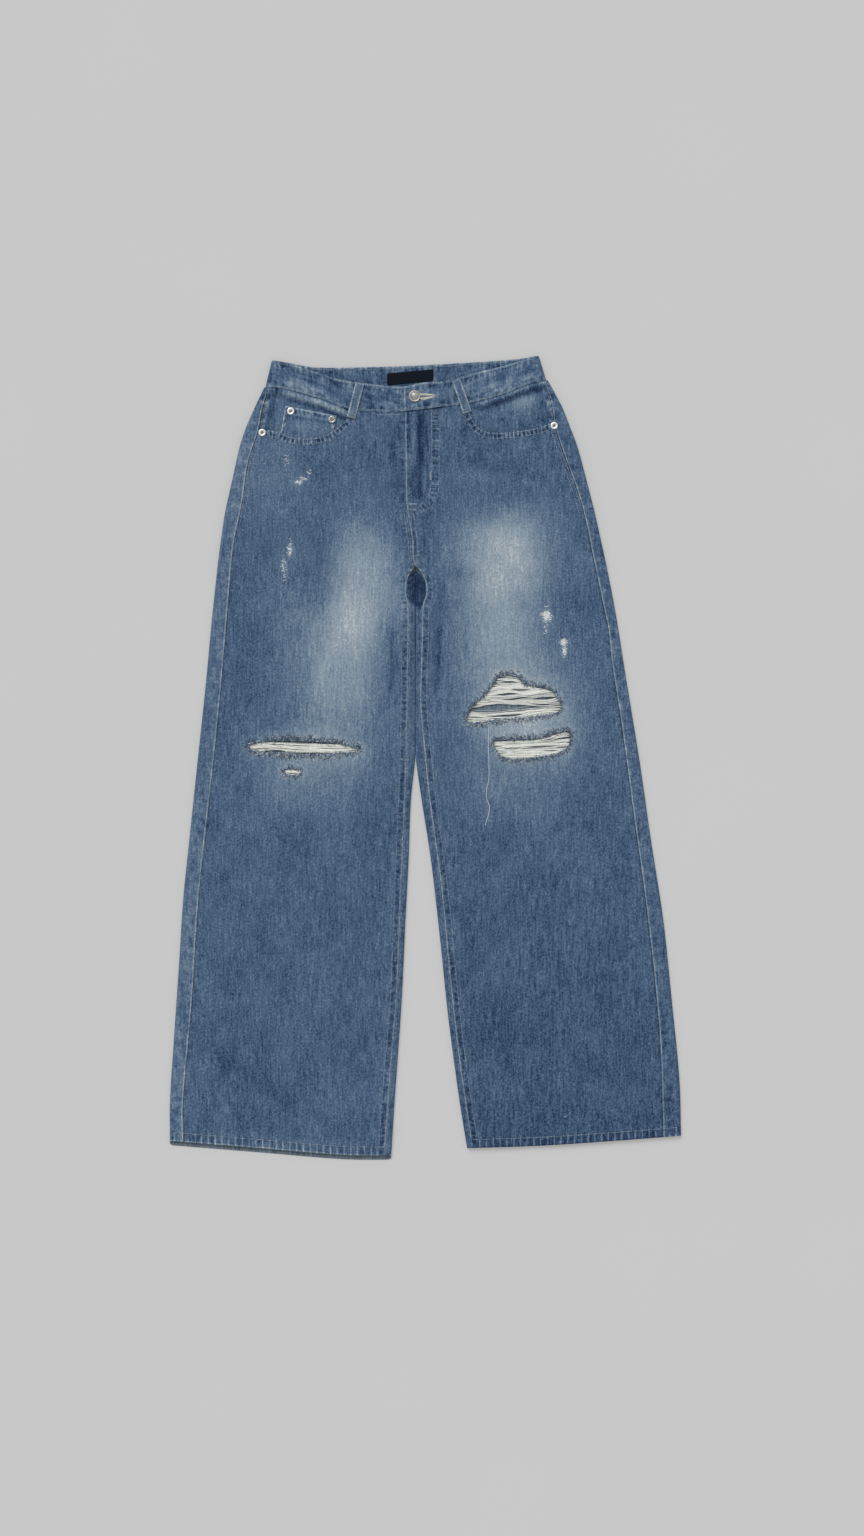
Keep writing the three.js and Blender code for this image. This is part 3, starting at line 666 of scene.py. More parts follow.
def metal_material(name, dark, light, roughness, relief=0.15):
    n = Nodes(name)
    tarnish = n.noise(0.6, detail=4.0, roughness=0.6)
    n.paint(n.ramp(tarnish, [(0.3, dark), (0.65, light)]))
    n.bump(n.noise(1.5, detail=3.0), relief, 0.0004)
    return n.finish(roughness=roughness, specular=0.5, metallic=0.55)


def floor_material():
    n = Nodes("floor")
    soft = n.noise(0.004, detail=1.0)
    tones = [(0.3, srgb(156, 156, 156)), (0.7, srgb(157, 157, 157))]
    n.paint(n.ramp(soft, tones))
    n.shader.inputs["Emission Color"].default_value = (1, 1, 1, 1)
    n.shader.inputs["Emission Strength"].default_value = 0.25
    return n.finish(roughness=1.0, specular=0.0)


DENIM = denim_material()
REVERSE = reverse_material()
STITCH = thread_material(
    "stitch_thread", [srgb(82, 104, 130), srgb(118, 138, 158), srgb(166, 179, 190)],
)
GOLD_STITCH = thread_material(
    "pale_gold_thread", [srgb(120, 124, 114), srgb(204, 204, 188), srgb(236, 234, 220)],
)
# The darker tones go mostly to the lower layers of bared weft, as painted shade.
WEFT = thread_material(
    "bared_weft", [srgb(92, 106, 116), srgb(186, 193, 190), srgb(238, 239, 232)],
)
FRAY = thread_material(
    "frayed_warp",
    [srgb(60, 80, 100), srgb(92, 112, 131), srgb(152, 167, 180), srgb(232, 236, 236)],
)
LABEL = label_material()
NICKEL = metal_material("nickel", srgb(205, 208, 208), srgb(252, 252, 250), 0.35)
DARK_METAL = metal_material("dark_metal", srgb(80, 78, 72), srgb(140, 135, 122), 0.45)
AGED_METAL = metal_material("aged_metal", srgb(112, 114, 112), srgb(204, 204, 198), 0.32)
CAST_METAL = metal_material("cast_metal", srgb(66, 72, 76), srgb(196, 198, 196), 0.34, relief=0.7)
FLOOR = floor_material()

# ---- meshes


def new_object(name, points, faces, materials, attributes=None):
    """A smooth mesh from points in millimetres in the garment's frame."""
    mesh = bpy.data.meshes.new(name)
    mesh.from_pydata(((np.asarray(points, float) + FRAME_SHIFT) * MM).tolist(), [], faces)
    for key, values in (attributes or {}).items():
        kind = "FLOAT" if np.ndim(values) == 1 else "FLOAT_VECTOR"
        layer = mesh.attributes.new(key, kind, "POINT")
        field = "value" if kind == "FLOAT" else "vector"
        layer.data.foreach_set(field, np.asarray(values, np.float32).ravel())
    mesh.polygons.foreach_set("use_smooth", [True] * len(mesh.polygons))
    for material in materials:
        mesh.materials.append(material)
    mesh.validate()
    obj = bpy.data.objects.new(name, mesh)
    bpy.context.scene.collection.objects.link(obj)
    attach(obj, "root")
    return obj


def grid_faces(rows, columns, flip, keep=None):
    """Quads of a grid of points stored row by row; keep says which cells stay."""
    index = np.arange(rows * columns).reshape(rows, columns)
    a, b = index[:-1, :-1], index[1:, :-1]
    c, d = index[1:, 1:], index[:-1, 1:]
    quads = np.stack([a, b, c, d] if not flip else [a, d, c, b], -1).reshape(-1, 4)
    return quads if keep is None else quads[keep.ravel()]


def thicken(obj, thickness, reverse=False):
    solid = obj.modifiers.new("thickness", "SOLIDIFY")
    solid.thickness = thickness * MM
    solid.offset = -1
    solid.use_even_offset = False
    if reverse:
        solid.material_offset = 1
        solid.material_offset_rim = 0
    return obj


def cloth(name, stands_for, xyz, flip, seams, wear_and_shade, keep=None, thickness=CLOTH, reverse=True):
    """One piece of denim from grids of its outer x, y and z, with its seam lines, and its wear and
    painted shade.
    """
    shape = xyz[0].shape
    quads = grid_faces(*shape, flip, keep)
    used = np.unique(quads)
    renumber = np.zeros(shape[0] * shape[1], int)
    renumber[used] = np.arange(len(used))

    def listed(*fields):
        grid = np.stack([np.broadcast_to(field, shape) for field in fields], -1)
        return grid.reshape(-1, len(fields))[used]

    attributes = {
        "wear_and_shade": listed(wear_and_shade)[:, 0],
        "seam": listed(seams.near, seams.along, seams.pale),
        "band": listed(seams.reach, seams.ripple, seams.ropes),
    }
    materials = [DENIM, REVERSE] if reverse else [DENIM]
    obj = new_object(name, listed(*xyz), renumber[quads].tolist(), materials, attributes)
    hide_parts(stands_for)
    return thicken(obj, thickness, reverse)


def cut_holes(x, y, outlines):
    """Opens holes in a grid: returns the grid snapped to the outlines and the cells to keep."""
    gone = np.zeros(x.shape, bool)
    for outline in outlines:
        gone |= inside(outline, x, y)
    cells_gone = gone[:-1, :-1] & gone[1:, :-1] & gone[:-1, 1:] & gone[1:, 1:]
    keep = ~cells_gone
    touched = np.zeros(x.shape, bool)
    for di in (0, 1):
        for dj in (0, 1):
            touched[di:di + keep.shape[0], dj:dj + keep.shape[1]] |= keep
    x, y = x.copy(), y.copy()
    for outline in outlines:
        snap = inside(outline, x, y) & touched
        if snap.any():
            _, _, index = nearest_on(outline, x[snap], y[snap])
            x[snap], y[snap] = outline[index].T
    return x, y, keep


# ---- sections of a leg


def inner_edge(leg, y):
    return np.where(y > 5, CENTRE_BACK, leg.inner_fold(np.minimum(y, 5)))


def back_section(leg, s, y):
    """The back of a leg: s is 0-1 outer wrap, 1-2 fold, 2-3 back, 3-4 inner fold, 4-5 wrap."""
    side = leg.side
    outer = leg.outer_fold(y)
    low = under(y)
    radius = (upper(outer - side * 4, y) - low) / 2
    fold_at = outer - side * radius
    inner_at = inner_edge(leg, y)
    inner_radius = (upper(inner_at, y) - low) / 2
    inner_fold_at = inner_at + side * inner_radius
    clear = mix(0.15, 0.45, fade(y, 345, 390))
    turn = fold_angle(s)

    x1 = mix(leg.outseam(y) + side * clear, fold_at, s)
    z1 = mix(upper(x1, y), low + 2 * radius, fade(s, 0.4, 1))
    x2 = fold_at + side * radius * np.sin(turn)
    z2 = low + radius * (1 + np.cos(turn))
    flat = fade(y, 230, 250)
    seam = CENTRE_BACK
    flat_start = seam + side * 14
    x3 = mix(fold_at, mix(inner_fold_at, flat_start, flat), s - 2)
    x4 = inner_fold_at - side * inner_radius * np.sin(turn)
    z4 = low + inner_radius * (1 - np.cos(turn))
    inseam = leg.inseam(np.minimum(y, CROTCH_Y))
    end = side * np.maximum(side * (inseam - side * SEAM_HALF_GAP), side * inner_fold_at + 0.4)
    x5 = mix(inner_fold_at, end, s - 4)
    z5 = mix(low + 2 * inner_radius, upper(x5, y), fade(s, 4, 4.6))
    flat_x = mix(seam, flat_start, np.clip(4 - s, 0, 1) ** 9)

    inner_x = mix(np.where(s <= 4, x4, x5), flat_x, flat)
    inner_z = mix(np.where(s <= 4, z4, z5), low, flat)
    on_stretch = [s <= 1, s <= 2, s <= 3]
    x = np.select(on_stretch, [x1, x2, x3], inner_x)
    z = np.select(on_stretch, [z1, z2, low + 0 * x3], inner_z)
    return x, z


def front_x(leg, s, y):
    side = leg.side
    inseam = leg.inseam(np.minimum(y, CROTCH_Y)) + side * SEAM_HALF_GAP
    fly = rise_line(y) + side * SEAM_HALF_GAP + (22 * fade(y, 286, 312) if side < 0 else 0)
    inner = np.where(y < CROTCH_Y, inseam, fly)
    return mix(inner, leg.outseam(y) - side * SEAM_HALF_GAP, s)


def fit_rows(x_at, s, rows, top, bottom, start, end):
    """Rows at their nominal heights, bent so that the first and last follow the edges."""
    low_start, low_end = BEND_DOWN, rows[0]
    y = np.broadcast_to(rows, np.broadcast(s, rows).shape).astype(float)
    nominal = y.copy()
    for _ in range(5):
        x = x_at(s, y)
        high = mix(start, top(x, s), (nominal - start) / (end - start))
        low = mix(low_start, bottom(x, s), (nominal - low_start) / (low_end - low_start))
        y = np.select([nominal > start, nominal < low_start], [high, low], nominal)
    return x_at(s, y), y


# ---- rips

# Scuffed places, where a few weft threads show: (x, y, half width, half height, count, whiteness).
SCUFFS = [
    (-180, 386, 3.5, 12, 20, 0.35), (-164, 359, 6, 3.5, 26, 0.9), (-157, 364, 5, 4, 16, 0.6),
    (-151, 374, 3, 8, 12, 0.35), (-176, 272, 3.0, 10, 36, 0.8), (-184, 250, 3.4, 9, 30, 0.7),
    (-183, 238, 2, 5, 8, 0.5), (157.5, 186, 6, 7, 124, 1.0), (156, 168, 3, 8, 14, 0.45),
    (180, 151, 6, 3.5, 50, 1.0), (181, 140, 3, 9, 44, 0.9), (182, -464, 2, 2, 5, 0.5),
]

RIPS = {
    "knee": {
        "leg": "right",
        "outline": [
            (-232, 16), (-205, 22), (-165, 23), (-120, 20), (-85, 11), (-110, 7.5),
            (-150, 6), (-195, 8), (-222, 10),
        ],
    },
    "knee_small": {
        "leg": "right",
        "outline": [(-187, -17), (-176, -13.5), (-163, -15), (-164, -21), (-180, -21.5)],
    },
    "upper": {
        "leg": "left",
        "outline": [
            (96, 107), (120, 106), (129, 96), (154, 92), (166, 86), (176, 70), (171, 60),
            (129, 53), (94, 50.5), (66, 46.5), (53, 49), (61, 67), (79, 85), (88, 96),
        ],
    },
    "lower": {
        "leg": "left",
        "outline": [
            (88, 23), (113, 24), (145, 26), (167, 32.5), (186, 36), (188, 26), (184, 13),
            (166, 5), (145, 2), (118, -1), (102, 1), (92, 11),
        ],
    },
}
for rip in RIPS.values():
    rip["line"] = curve_through(rip["outline"], spacing=0.8, closed=True)


def near_rips(x, y, margin):
    """For each rip, the points within a margin of it, their distance from it and along it."""
    for rip in RIPS.values():
        low, high = rip["line"].min(0) - margin, rip["line"].max(0) + margin
        near = (x > low[0]) & (x < high[0]) & (y > low[1]) & (y < high[1])
        if near.any():
            d, s, _ = nearest_on(rip["line"], x[near], y[near])
            yield near, d, s


def rip_relief(x, y):
    """The edge of a rip lifts and curls a little."""
    lift = np.zeros(np.shape(x))
    for near, d, s in near_rips(x, y, 12):
        lift[near] += (0.7 + 0.5 * NOISE[6](s / 7, d / 9)) * bell(d, 4)
    return lift


def rip_wear(x, y):
    """Round a rip or a scuff the cloth is thin and pale."""
    pale = np.zeros(np.shape(x))
    for near, d, s in near_rips(x, y, 25):
        rough = 0.16 * NOISE[7](s / 3, d / 3) * bell(d, 5)
        pale[near] += 0.13 * bell(d, 11) + rough - 0.07 * bell(d, 2)
    for cx, cy, half_x, half_y, _, white in SCUFFS:
        across, along = (x - cx) / (half_x + 0.6), (y - cy) / (half_y + 1)
        pale += 0.24 * white * bell(across, 1) * bell(along, 1)
    return pale


# ---- front panels

FLY_BAND = curve_through([
    (13, 449), (13, 400), (12.3, 354), (7.5, 336), (-1.5, 327), (-9, 322), (-15, 320),
])


def front_seams(leg, x, y):
    side = leg.side
    seams = Seams(x.shape)
    outer = (leg.outseam(y) - x) * side
    seams.add(outer, y, pitch=11, reach=5, height=0.4, pale=-0.25, ripple=0.08, seed=0)
    inner = (x - leg.inseam(y)) * side
    seams.add(
        np.where(y < CROTCH_Y, inner, 99), y, pitch=6, reach=9, height=0.4, pale=1.15,
        ripple=0.18, seed=1,
    )
    fly = (x - rise_line(y)) * side
    fly = np.where((y > CROTCH_Y) & (fly > 0), fly, 99)
    fly_pale = 0.9 if side > 0 else 0.2
    seams.add(fly, y, pitch=8, reach=9, height=0.4, pale=fly_pale, ripple=0.14, seed=2)
    band = front_band_seam(x) - y
    # The edge under the waistband is painted dark (pale below zero), as the band's shade.
    seams.add(band, x, pitch=7, reach=5, height=0.3, pale=-0.35, ripple=0.16, seed=3)
    hem = y - leg.hem(x)
    hem_pale = 1.0 if side < 0 else -0.3
    seams.add(hem, x, pitch=8.8, reach=11.5, height=0.5, pale=hem_pale, ripple=0.12, seed=4,
              ropes=0.9)
    d, s, _ = nearest_on(leg.pocket_line, x, y)
    seams.add(d, s, pitch=5.2, reach=8.5, height=0.45, pale=0.3, ripple=0.32, seed=5, ropes=0.95)
    if side > 0:
        d, s, _ = nearest_on(FLY_BAND, x, y)
        seams.add(d, s, pitch=5.2, reach=3.8, height=0.3, pale=0, ripple=0.26, seed=6, ropes=0.4)
    return seams


def front_height(leg, x, y):
    height = upper(x, y) + panel_relief(x, y) + rip_relief(x, y)
    return height + (fly_raise(x, y) if leg.side > 0 else 0)


for leg in LEGS.values():
    leg.pocket_line = curve_through(leg.pocket_edge)


def front_panel(name):
    leg = LEGS[name]
    side = leg.side
    columns = steps(0, 1, int(PANEL_WIDTH / CELL))[None, :]
    rows = np.arange(LOWEST_ROW, FRONT_TOP_ROW + CELL / 2, CELL)[:, None]
    x, y = fit_rows(
        lambda s, y: front_x(leg, s, y), columns, rows,
        lambda x, s: front_band_seam(x) - SEAM_HALF_GAP, lambda x, s: leg.hem(x),
        FRONT_BEND_UP, rows[-1, 0],
    )
    edge = leg.pocket_line
    outer, above = edge[0, 0] + side * 20, 530
    corners = [(edge[-1, 0], above), (outer, above), (outer, edge[0, 1])]
    scoop = densify(np.vstack([edge, corners]))
    holes = [rip["line"] for rip in RIPS.values() if rip["leg"] == name]
    x, y, keep = cut_holes(x, y, [scoop, *holes])
    seams = front_seams(leg, x, y)
    z = front_height(leg, x, y) + seams.relief
    wear_and_shade = wear_at(x, y) + rip_wear(x, y) + soft_lines(x, y, WEAR_AND_SHADE_MARKS)
    inner = np.where(y < 185, side * (x - leg.inseam(y)), 99)
    wear_and_shade = wear_and_shade - 0.08 * bell(inner - 5.5, 2.2) + 0.05 * bell(inner - 12, 2.5)
    return cloth("front_" + name, "front_panel_" + name, (x, y, z), side > 0, seams, wear_and_shade, keep)


def densify(outline, spacing=1.5):
    """A closed outline with points no further apart than the spacing."""
    out = []
    for a, b in zip(outline, np.roll(outline, -1, axis=0)):
        count = max(1, int(np.hypot(*(b - a)) / spacing))
        out.append(a + (b - a) * np.linspace(0, 1, count, endpoint=False)[:, None])
    return np.vstack(out)


# ---- back panels and yokes

BACK_STRETCHES = stretches(10, 8, 32, 8, 5)[None, :]


def yoke_seam(leg, x, s):
    fold = leg.outer_fold(leg.yoke_side)
    reach = abs(fold - CENTRE_BACK)
    from_centre = np.abs(x - CENTRE_BACK)
    unfolded = np.where(s < 1.5, 2 * reach - from_centre, from_centre)
    return mix(YOKE_CENTRE, leg.yoke_side, unfolded / reach)


def back_finish(s, x, y, z, seams):
    """Relief of a back piece: puckers where it shows on the front, soft folds beneath."""
    on_top = fade(s, 1.35, 1.0) + fade(s, 3.7, 4.0) * fade(y, 240, 228)
    beneath = fade(s, 1.9, 2.1) * fade(s, 3.1, 2.9)
    folds = 0.5 + 0.5 * NOISE[6](x / 60, y / 90)
    soft = beneath * (0.9 * folds * fade(y, -480, -440))
    return z + (on_top * (seams.relief + panel_relief(x, y)) + soft)


def back_panel(name):
    leg = LEGS[name]
    side = leg.side
    s = BACK_STRETCHES
    rows = np.arange(LOWEST_ROW, BACK_TOP_ROW + CELL / 2, CELL)[:, None]
    x, y = fit_rows(
        lambda s, y: back_section(leg, s, y)[0], s, rows,
        lambda x, s: yoke_seam(leg, x, s) - SEAM_HALF_GAP,
        lambda x, s: leg.hem(x) - leg.back_hem_drop * fade(s, 1, 2) * fade(s, 4, 3),
        BACK_BEND_UP, rows[-1, 0],
    )
    _, z = back_section(leg, s, y)
    s = np.broadcast_to(s, x.shape)
    seams = Seams(x.shape)
    outer = np.where(s < 2, (x - leg.outseam(y)) * side, 99)
    seams.add(outer, y, pitch=13, reach=14, height=0.35, pale=1.15, ripple=0.12, seed=0)
    inner = np.where((s > 3) & (y < CROTCH_Y), (leg.inseam(y) - x) * side, 99)
    seams.add(inner, y, pitch=8, reach=5, height=0.3, pale=0.3, ripple=0.08, seed=1)
    hem = y - leg.hem(x)
    seams.add(hem, x, pitch=8.8, reach=11.5, height=0.4, pale=0.6, ripple=0.1, seed=4, ropes=1.0)
    z = back_finish(s, x, y, z, seams)
    wear_and_shade = wear_at(x, y) * np.where(s < 1.6, 1, 0.8) + (0.02 if side > 0 else 0.10) * fade(s, 2, 1)
    # The crotch hollow on the inner wrap is painted dark as shade, from a slanted lower edge up.
    lowest = 193 + np.where(x < -7, -0.85 * (x + 7), 1.5 * (x + 7))
    painted_hollow_shade = fade(y, lowest - 3, lowest + 3) * fade(s, 3.2, 3.6)
    wear_and_shade = wear_and_shade - (0.28 + 0.10 * NOISE[4](x / 3, y / 3)) * painted_hollow_shade + 0.06 * fade(s, 3.2, 3.8)
    return cloth("back_" + name, "back_panel_" + name, (x, y, z), side > 0, seams, wear_and_shade)


def back_yoke(name):
    leg = LEGS[name]
    s = BACK_STRETCHES
    t = steps(0, 1, 20)[:, None]
    y = np.full(np.broadcast(s, t).shape, leg.yoke_side)
    for _ in range(5):
        x, _ = back_section(leg, s, y)
        seam = np.where(s < 1.5, front_band_seam(x), back_band_seam(x))
        y = mix(yoke_seam(leg, x, s) + SEAM_HALF_GAP, seam - SEAM_HALF_GAP, t)
    x, z = back_section(leg, s, y)
    s = np.broadcast_to(s, x.shape)
    seams = Seams(x.shape)
    seams.add(np.where(s < 2, (x - leg.outseam(y)) * leg.side, 99), y, reach=6, pale=1.0, seed=0)
    above = y - yoke_seam(leg, x, s)
    seams.add(above, x, pitch=7, reach=7, height=0.3, pale=0.6, ripple=0.2, seed=3)
    z = back_finish(s, x, y, z, seams)
    wear_and_shade = wear_at(x, y) + 0.02
    return cloth("yoke_" + name, "back_yoke_" + name, (x, y, z), leg.side > 0, seams, wear_and_shade)


# ---- waistband

OVER_END = -28.0
UNDER_END = 4.0
BAND_FOLDS = {"left": ((147, 523.5), (157, 490.5)), "right": ((-199.5, 518), (-208, 482))}
BAND_STRETCHES = stretches(88, 10, 120, 10, 104)[:, None]


def band_fold(name, t):
    top, seam = BAND_FOLDS[name]
    return mix(top[0], seam[0], t)


def band_point(s, t):
    """s is 0-1 the over end to the left side, 1-2 fold, 2-3 back, 3-4 fold, 4-5 the right side."""
    radius = (BAND_TOP - LAYER) / 2
    left_at = band_fold("left", t) - radius
    right_at = band_fold("right", t) + radius
    turn = fold_angle(s)
    fold_left = left_at + radius * np.sin(turn)
    fold_right = right_at - radius * np.sin(turn)
    on_stretch = [s <= 1, s <= 2, s <= 3, s <= 4]
    x = np.select(
        on_stretch,
        [mix(OVER_END, left_at, s), fold_left, mix(left_at, right_at, s - 2), fold_right],
        mix(right_at, UNDER_END, s - 4),
    )
    y_at = np.select(on_stretch, [x, left_at, x, right_at], x)
    front = (s < 1.5) | (s > 3.5)
    top = np.where(front, front_band_top(y_at), back_band_top(y_at))
    seam = np.where(front, front_band_seam(y_at), back_band_seam(y_at)) + SEAM_HALF_GAP
    y = mix(top, seam, t)
    over = 2.7 * fade(x, 38, 8)
    z = np.select(
        on_stretch,
        [BAND_TOP + over, LAYER + radius * (1 + np.cos(turn)), LAYER + 0 * x,
         LAYER + radius * (1 - np.cos(turn))],
        BAND_TOP + 0 * x,
    )
    return x, y, z


def waistband():
    s, t = np.broadcast_arrays(BAND_STRETCHES, steps(0, 1, 24)[None, :])
    x, y, z = band_point(s, t)
    seams = Seams(x.shape)
    depth = 35.0
    on_back = (s > 1.5) & (s < 3.5)
    run = np.where(on_back, x + 700, x)
    seams.add(t * depth, run, pitch=7, reach=9, height=0.45, pale=0.85, ripple=0.2, seed=5,
              ropes=0.25)
    seams.add((1 - t) * depth, run, pitch=9, reach=9, height=0.35, pale=0.65, ripple=0.2, seed=2)
    ends = np.where(s <= 1, x - OVER_END, 99)
    seams.add(ends, y, pitch=7, reach=5, height=0.2, pale=0.9, ripple=0.1, seed=1)
    outward = np.where(on_back, -0.3, 1.0)
    z = z + outward * (seams.relief + 0.35 * NOISE[3](x / 16, t * 2.2))
    wear_and_shade = 0.31 + 0.10 * NOISE[5](x / 11, t * 2.6) + 0.09 * NOISE[4](x / 5, t * 4)
    wear_and_shade = wear_and_shade - 0.10 * np.clip(NOISE[6](x / 8, t * 5) * 2 - 0.7, 0, 1)
    slant = np.where(x < -28, -0.36, 0.42)
    on_front = (s < 1) | (s > 4)
    wear_and_shade = wear_and_shade + 0.12 * NOISE[1]((x + slant * y) / 24, (y - slant * x) / 3.4) * on_front
    wear_and_shade = wear_and_shade + 0.20 * bell(x + 158, 42) * bell(t - 0.8, 0.35) * (s > 4)
    wear_and_shade = wear_and_shade + 0.17 * bell(x - 108, 46) * bell(t - 0.55, 0.5) * (s < 1)
    wear_and_shade = wear_and_shade + 0.07 * bell(x + 20, 12) * on_front
    return cloth("waistband_cloth", "waistband", (x, y, z), True, seams, wear_and_shade,
                 thickness=BAND_CLOTH, reverse=False)


# ---- front pockets


def facing_height(leg, x, y):
    seam = front_band_seam(x)
    clear = fade(leg.side * (x - leg.pocket_edge[-1][0]), 2, 16)
    rise = (leg.facing_drop + 0.2) * fade(y, seam - 16, seam - 2)
    roll = 1.1 * bell(seam - y - 6, 3.2) - 0.7 * bell(seam - y - 12, 2.6)
    return upper(x, y) - leg.facing_drop + (rise + roll) * clear


def pocket_facing(name):
    leg = LEGS[name]
    side = leg.side
    mouth = leg.pocket_edge[-1][0]
    s, t = patch(56, 36)
    y = np.full(s.shape, 440.0)
    for _ in range(5):
        x = mix(mouth - side * 9, leg.outseam(y) - side * SEAM_HALF_GAP, s)
        y = mix(FACING_FOOT, front_band_seam(x) - SEAM_HALF_GAP, t)
    seams = Seams(x.shape)
    seams.add((leg.outseam(y) - x) * side, y, reach=6, pale=0.7, seed=0)
    drop = front_band_seam(x) - y
    # Just under the waistband the facing's edge is painted dark (pale below zero), as the band's
    # shade.
    seams.add(drop, x, pitch=5, reach=8, height=0.5, pale=-0.45, ripple=0.2, seed=3)
    z = facing_height(leg, x, y) + seams.relief + 0.25 * NOISE[3](x / 12, y / 12)
    soft = fade(side * x, 60, 75) if side > 0 else fade(side * x, 190, 170)
    out = side * (leg.outseam(y) - x)
    # roll paints a pale worn lip just under the band and painted shade in the trough below the lip.
    if side > 0:
        roll = 0.22 * bell(drop - 2.5, 2.4) - 0.20 * bell(drop - 9, 4.5)
        wear_and_shade = 0.30 + 0.24 * bell(drop - 21, 11) * bell(out - 30, 28)
    else:
        roll = 0.28 * bell(drop - 6, 4.2) - 0.20 * bell(drop - 13, 3.2)
        roll = roll * (1 + 0.4 * bell(x + 130, 20))
        wear_and_shade = 0.37 - 0.04 * fade(out, 22, 8)
    wear_and_shade = wear_and_shade + roll * soft + 0.08 * NOISE[5](x / 9, y / 9)
    wear_and_shade = wear_and_shade - 0.12 * bell(out - 11, 4.5) + 0.10 * bell(out - 5, 2.2)
    return cloth("facing_" + name, "pocket_facing_" + name, (x, y, z), side > 0, seams, wear_and_shade)


COIN_WIDTH, COIN_HEIGHT = 67, 45


def coin_point(s, t):
    foot_x, foot_y = mix(-124, -191, s), 406 + 0 * s
    top_x, top_y = mix(-115, -182, s), mix(445, 458, s)
    return mix(foot_x, top_x, t), mix(foot_y, top_y, t)


def coin_height(x, y):
    return facing_height(LEGS["right"], x, y) + LAYER


def coin_pocket():
    s, t = patch(36, 26)
    x, y = coin_point(s, t)
    seams = Seams(x.shape)
    drop, across = (1 - t) * COIN_HEIGHT, s * COIN_WIDTH
    seams.add(drop, x, pitch=5, reach=7, height=0.4, pale=0.9, ripple=0.25, seed=4)
    seams.add((1 - s) * COIN_WIDTH, y, reach=4, height=0.2, pale=1.0, seed=1)
    seams.add(across, y, reach=4, height=0.2, pale=0.8, seed=2)
    z = coin_height(x, y) + seams.relief + 0.2 * NOISE[3](x / 11, y / 11)
    wear_and_shade = 0.42 + 0.09 * NOISE[5](x / 9, y / 9) - 0.16 * bell(drop - 11, 2.2)
    wear_and_shade = wear_and_shade - 0.10 * bell(drop - 4.5, 1.6) + 0.10 * bell(drop - 8, 1.6)
    return cloth("coin_pocket_cloth", "coin_pocket", (x, y, z), False, seams, wear_and_shade)


# ---- back pockets

# From the centre back outwards.
PATCH_OUTLINE = [(45, 388), (56, 276), (114, 258), (174, 284), (180, 398)]
PATCH_WIDTH, PATCH_HEIGHT = 125, 120


def back_pocket(name):
    side = LEGS[name].side
    s, t = patch(48, 48)
    foot = through([(0, 276), (0.49, 258), (1, 284)])
    out = mix(mix(56, 174, s), mix(45, 180, s), t)
    y = mix(foot(s), mix(388, 398, s), t)
    x = CENTRE_BACK + side * out
    seams = Seams(x.shape)
    wide, high = PATCH_WIDTH, PATCH_HEIGHT
    for d, along in ((s * wide, y), ((1 - s) * wide, y), (t * high, x), ((1 - t) * high, x)):
        seams.add(d, along, pitch=7, reach=7, height=0.25, pale=0.8, ripple=0.25, seed=3)
    z = 0.25 + 0.2 * (1 + NOISE[3](x / 20, y / 24)) + np.abs(seams.relief)
    wear_and_shade = wear_at(x, y) + 0.12 * bell(s - 0.5, 0.35) * bell(t - 0.5, 0.4)
    return cloth("seat_pocket_" + name, "back_pocket_" + name, (x, y, z), side < 0, seams, wear_and_shade,
                 thickness=0.8)


# ---- thread work


class Surface:
    """The outer face of finished pieces, found by looking straight down on them, or up."""

    def __init__(self, *pieces, below=False):
        self.below = below
        self.trees = []
        for piece in pieces:
            points = [vertex.co.copy() for vertex in piece.data.vertices]
            faces = [tuple(polygon.vertices) for polygon in piece.data.polygons]
            self.trees.append(BVHTree.FromPolygons(points, faces))

    def height(self, x, y):
        flat_x, flat_y = np.ravel(x), np.ravel(y)
        heights = np.full(flat_x.shape, np.nan)
        start, way = (-RAY_START, 1) if self.below else (RAY_START, -1)
        for k, (px, py) in enumerate(zip(flat_x, flat_y)):
            fx, fy = (px + FRAME_SHIFT[0]) * MM, (py + FRAME_SHIFT[1]) * MM
            found = [tree.ray_cast((fx, fy, start), (0, 0, way))[0] for tree in self.trees]
            found = [spot.z / MM for spot in found if spot is not None]
            if found:
                heights[k] = min(found) if self.below else max(found)
        good = ~np.isnan(heights)
        if not good.all():
            index = np.arange(len(heights))
            heights = np.interp(index, index[good], heights[good]) if good.any() else 0 * heights
        return heights.reshape(np.shape(x))

    def at(self, x, y):
        return float(self.height([x], [y])[0])


def tubes(name, paths, radius, material, tone=None, sides=5, ends=0.45):
    """Closed tubes along paths, an array of (tube, point, xyz), joined in one piece."""
    paths = np.asarray(paths, float)
    count, length = paths.shape[:2]
    tangent = np.gradient(paths, axis=1)
    tangent /= np.linalg.norm(tangent, axis=2, keepdims=True) + 1e-9
    across = np.cross(tangent, (0.0, 0.0, 1.0))
    across /= np.linalg.norm(across, axis=2, keepdims=True) + 1e-9
    rise = np.cross(across, tangent)
    width = np.broadcast_to(np.asarray(radius, float).reshape(-1, 1), (count, length)).copy()
    width[:, [0, -1]] *= ends
    angle = np.arange(sides) * 2 * np.pi / sides
    ring = np.cos(angle)[:, None] * across[:, :, None] + np.sin(angle)[:, None] * rise[:, :, None]
    points = paths[:, :, None] + width[:, :, None, None] * ring
    index = np.arange(count * length * sides).reshape(count, length, sides)
    following = np.roll(index, -1, axis=2)
    walls = np.stack([index[:, :-1], index[:, 1:], following[:, 1:], following[:, :-1]], -1)
    faces = walls.reshape(-1, 4).tolist()
    faces += index[:, 0].tolist() + index[:, -1, ::-1].tolist()
    tone = np.full(count, 0.5) if tone is None else np.asarray(tone, float)
    attributes = {"tone": np.repeat(tone, length * sides)}
    piece = new_object(name, points.reshape(-1, 3), faces, [material], attributes)
    return piece


def dice(seed):
    return np.random.default_rng(seed)


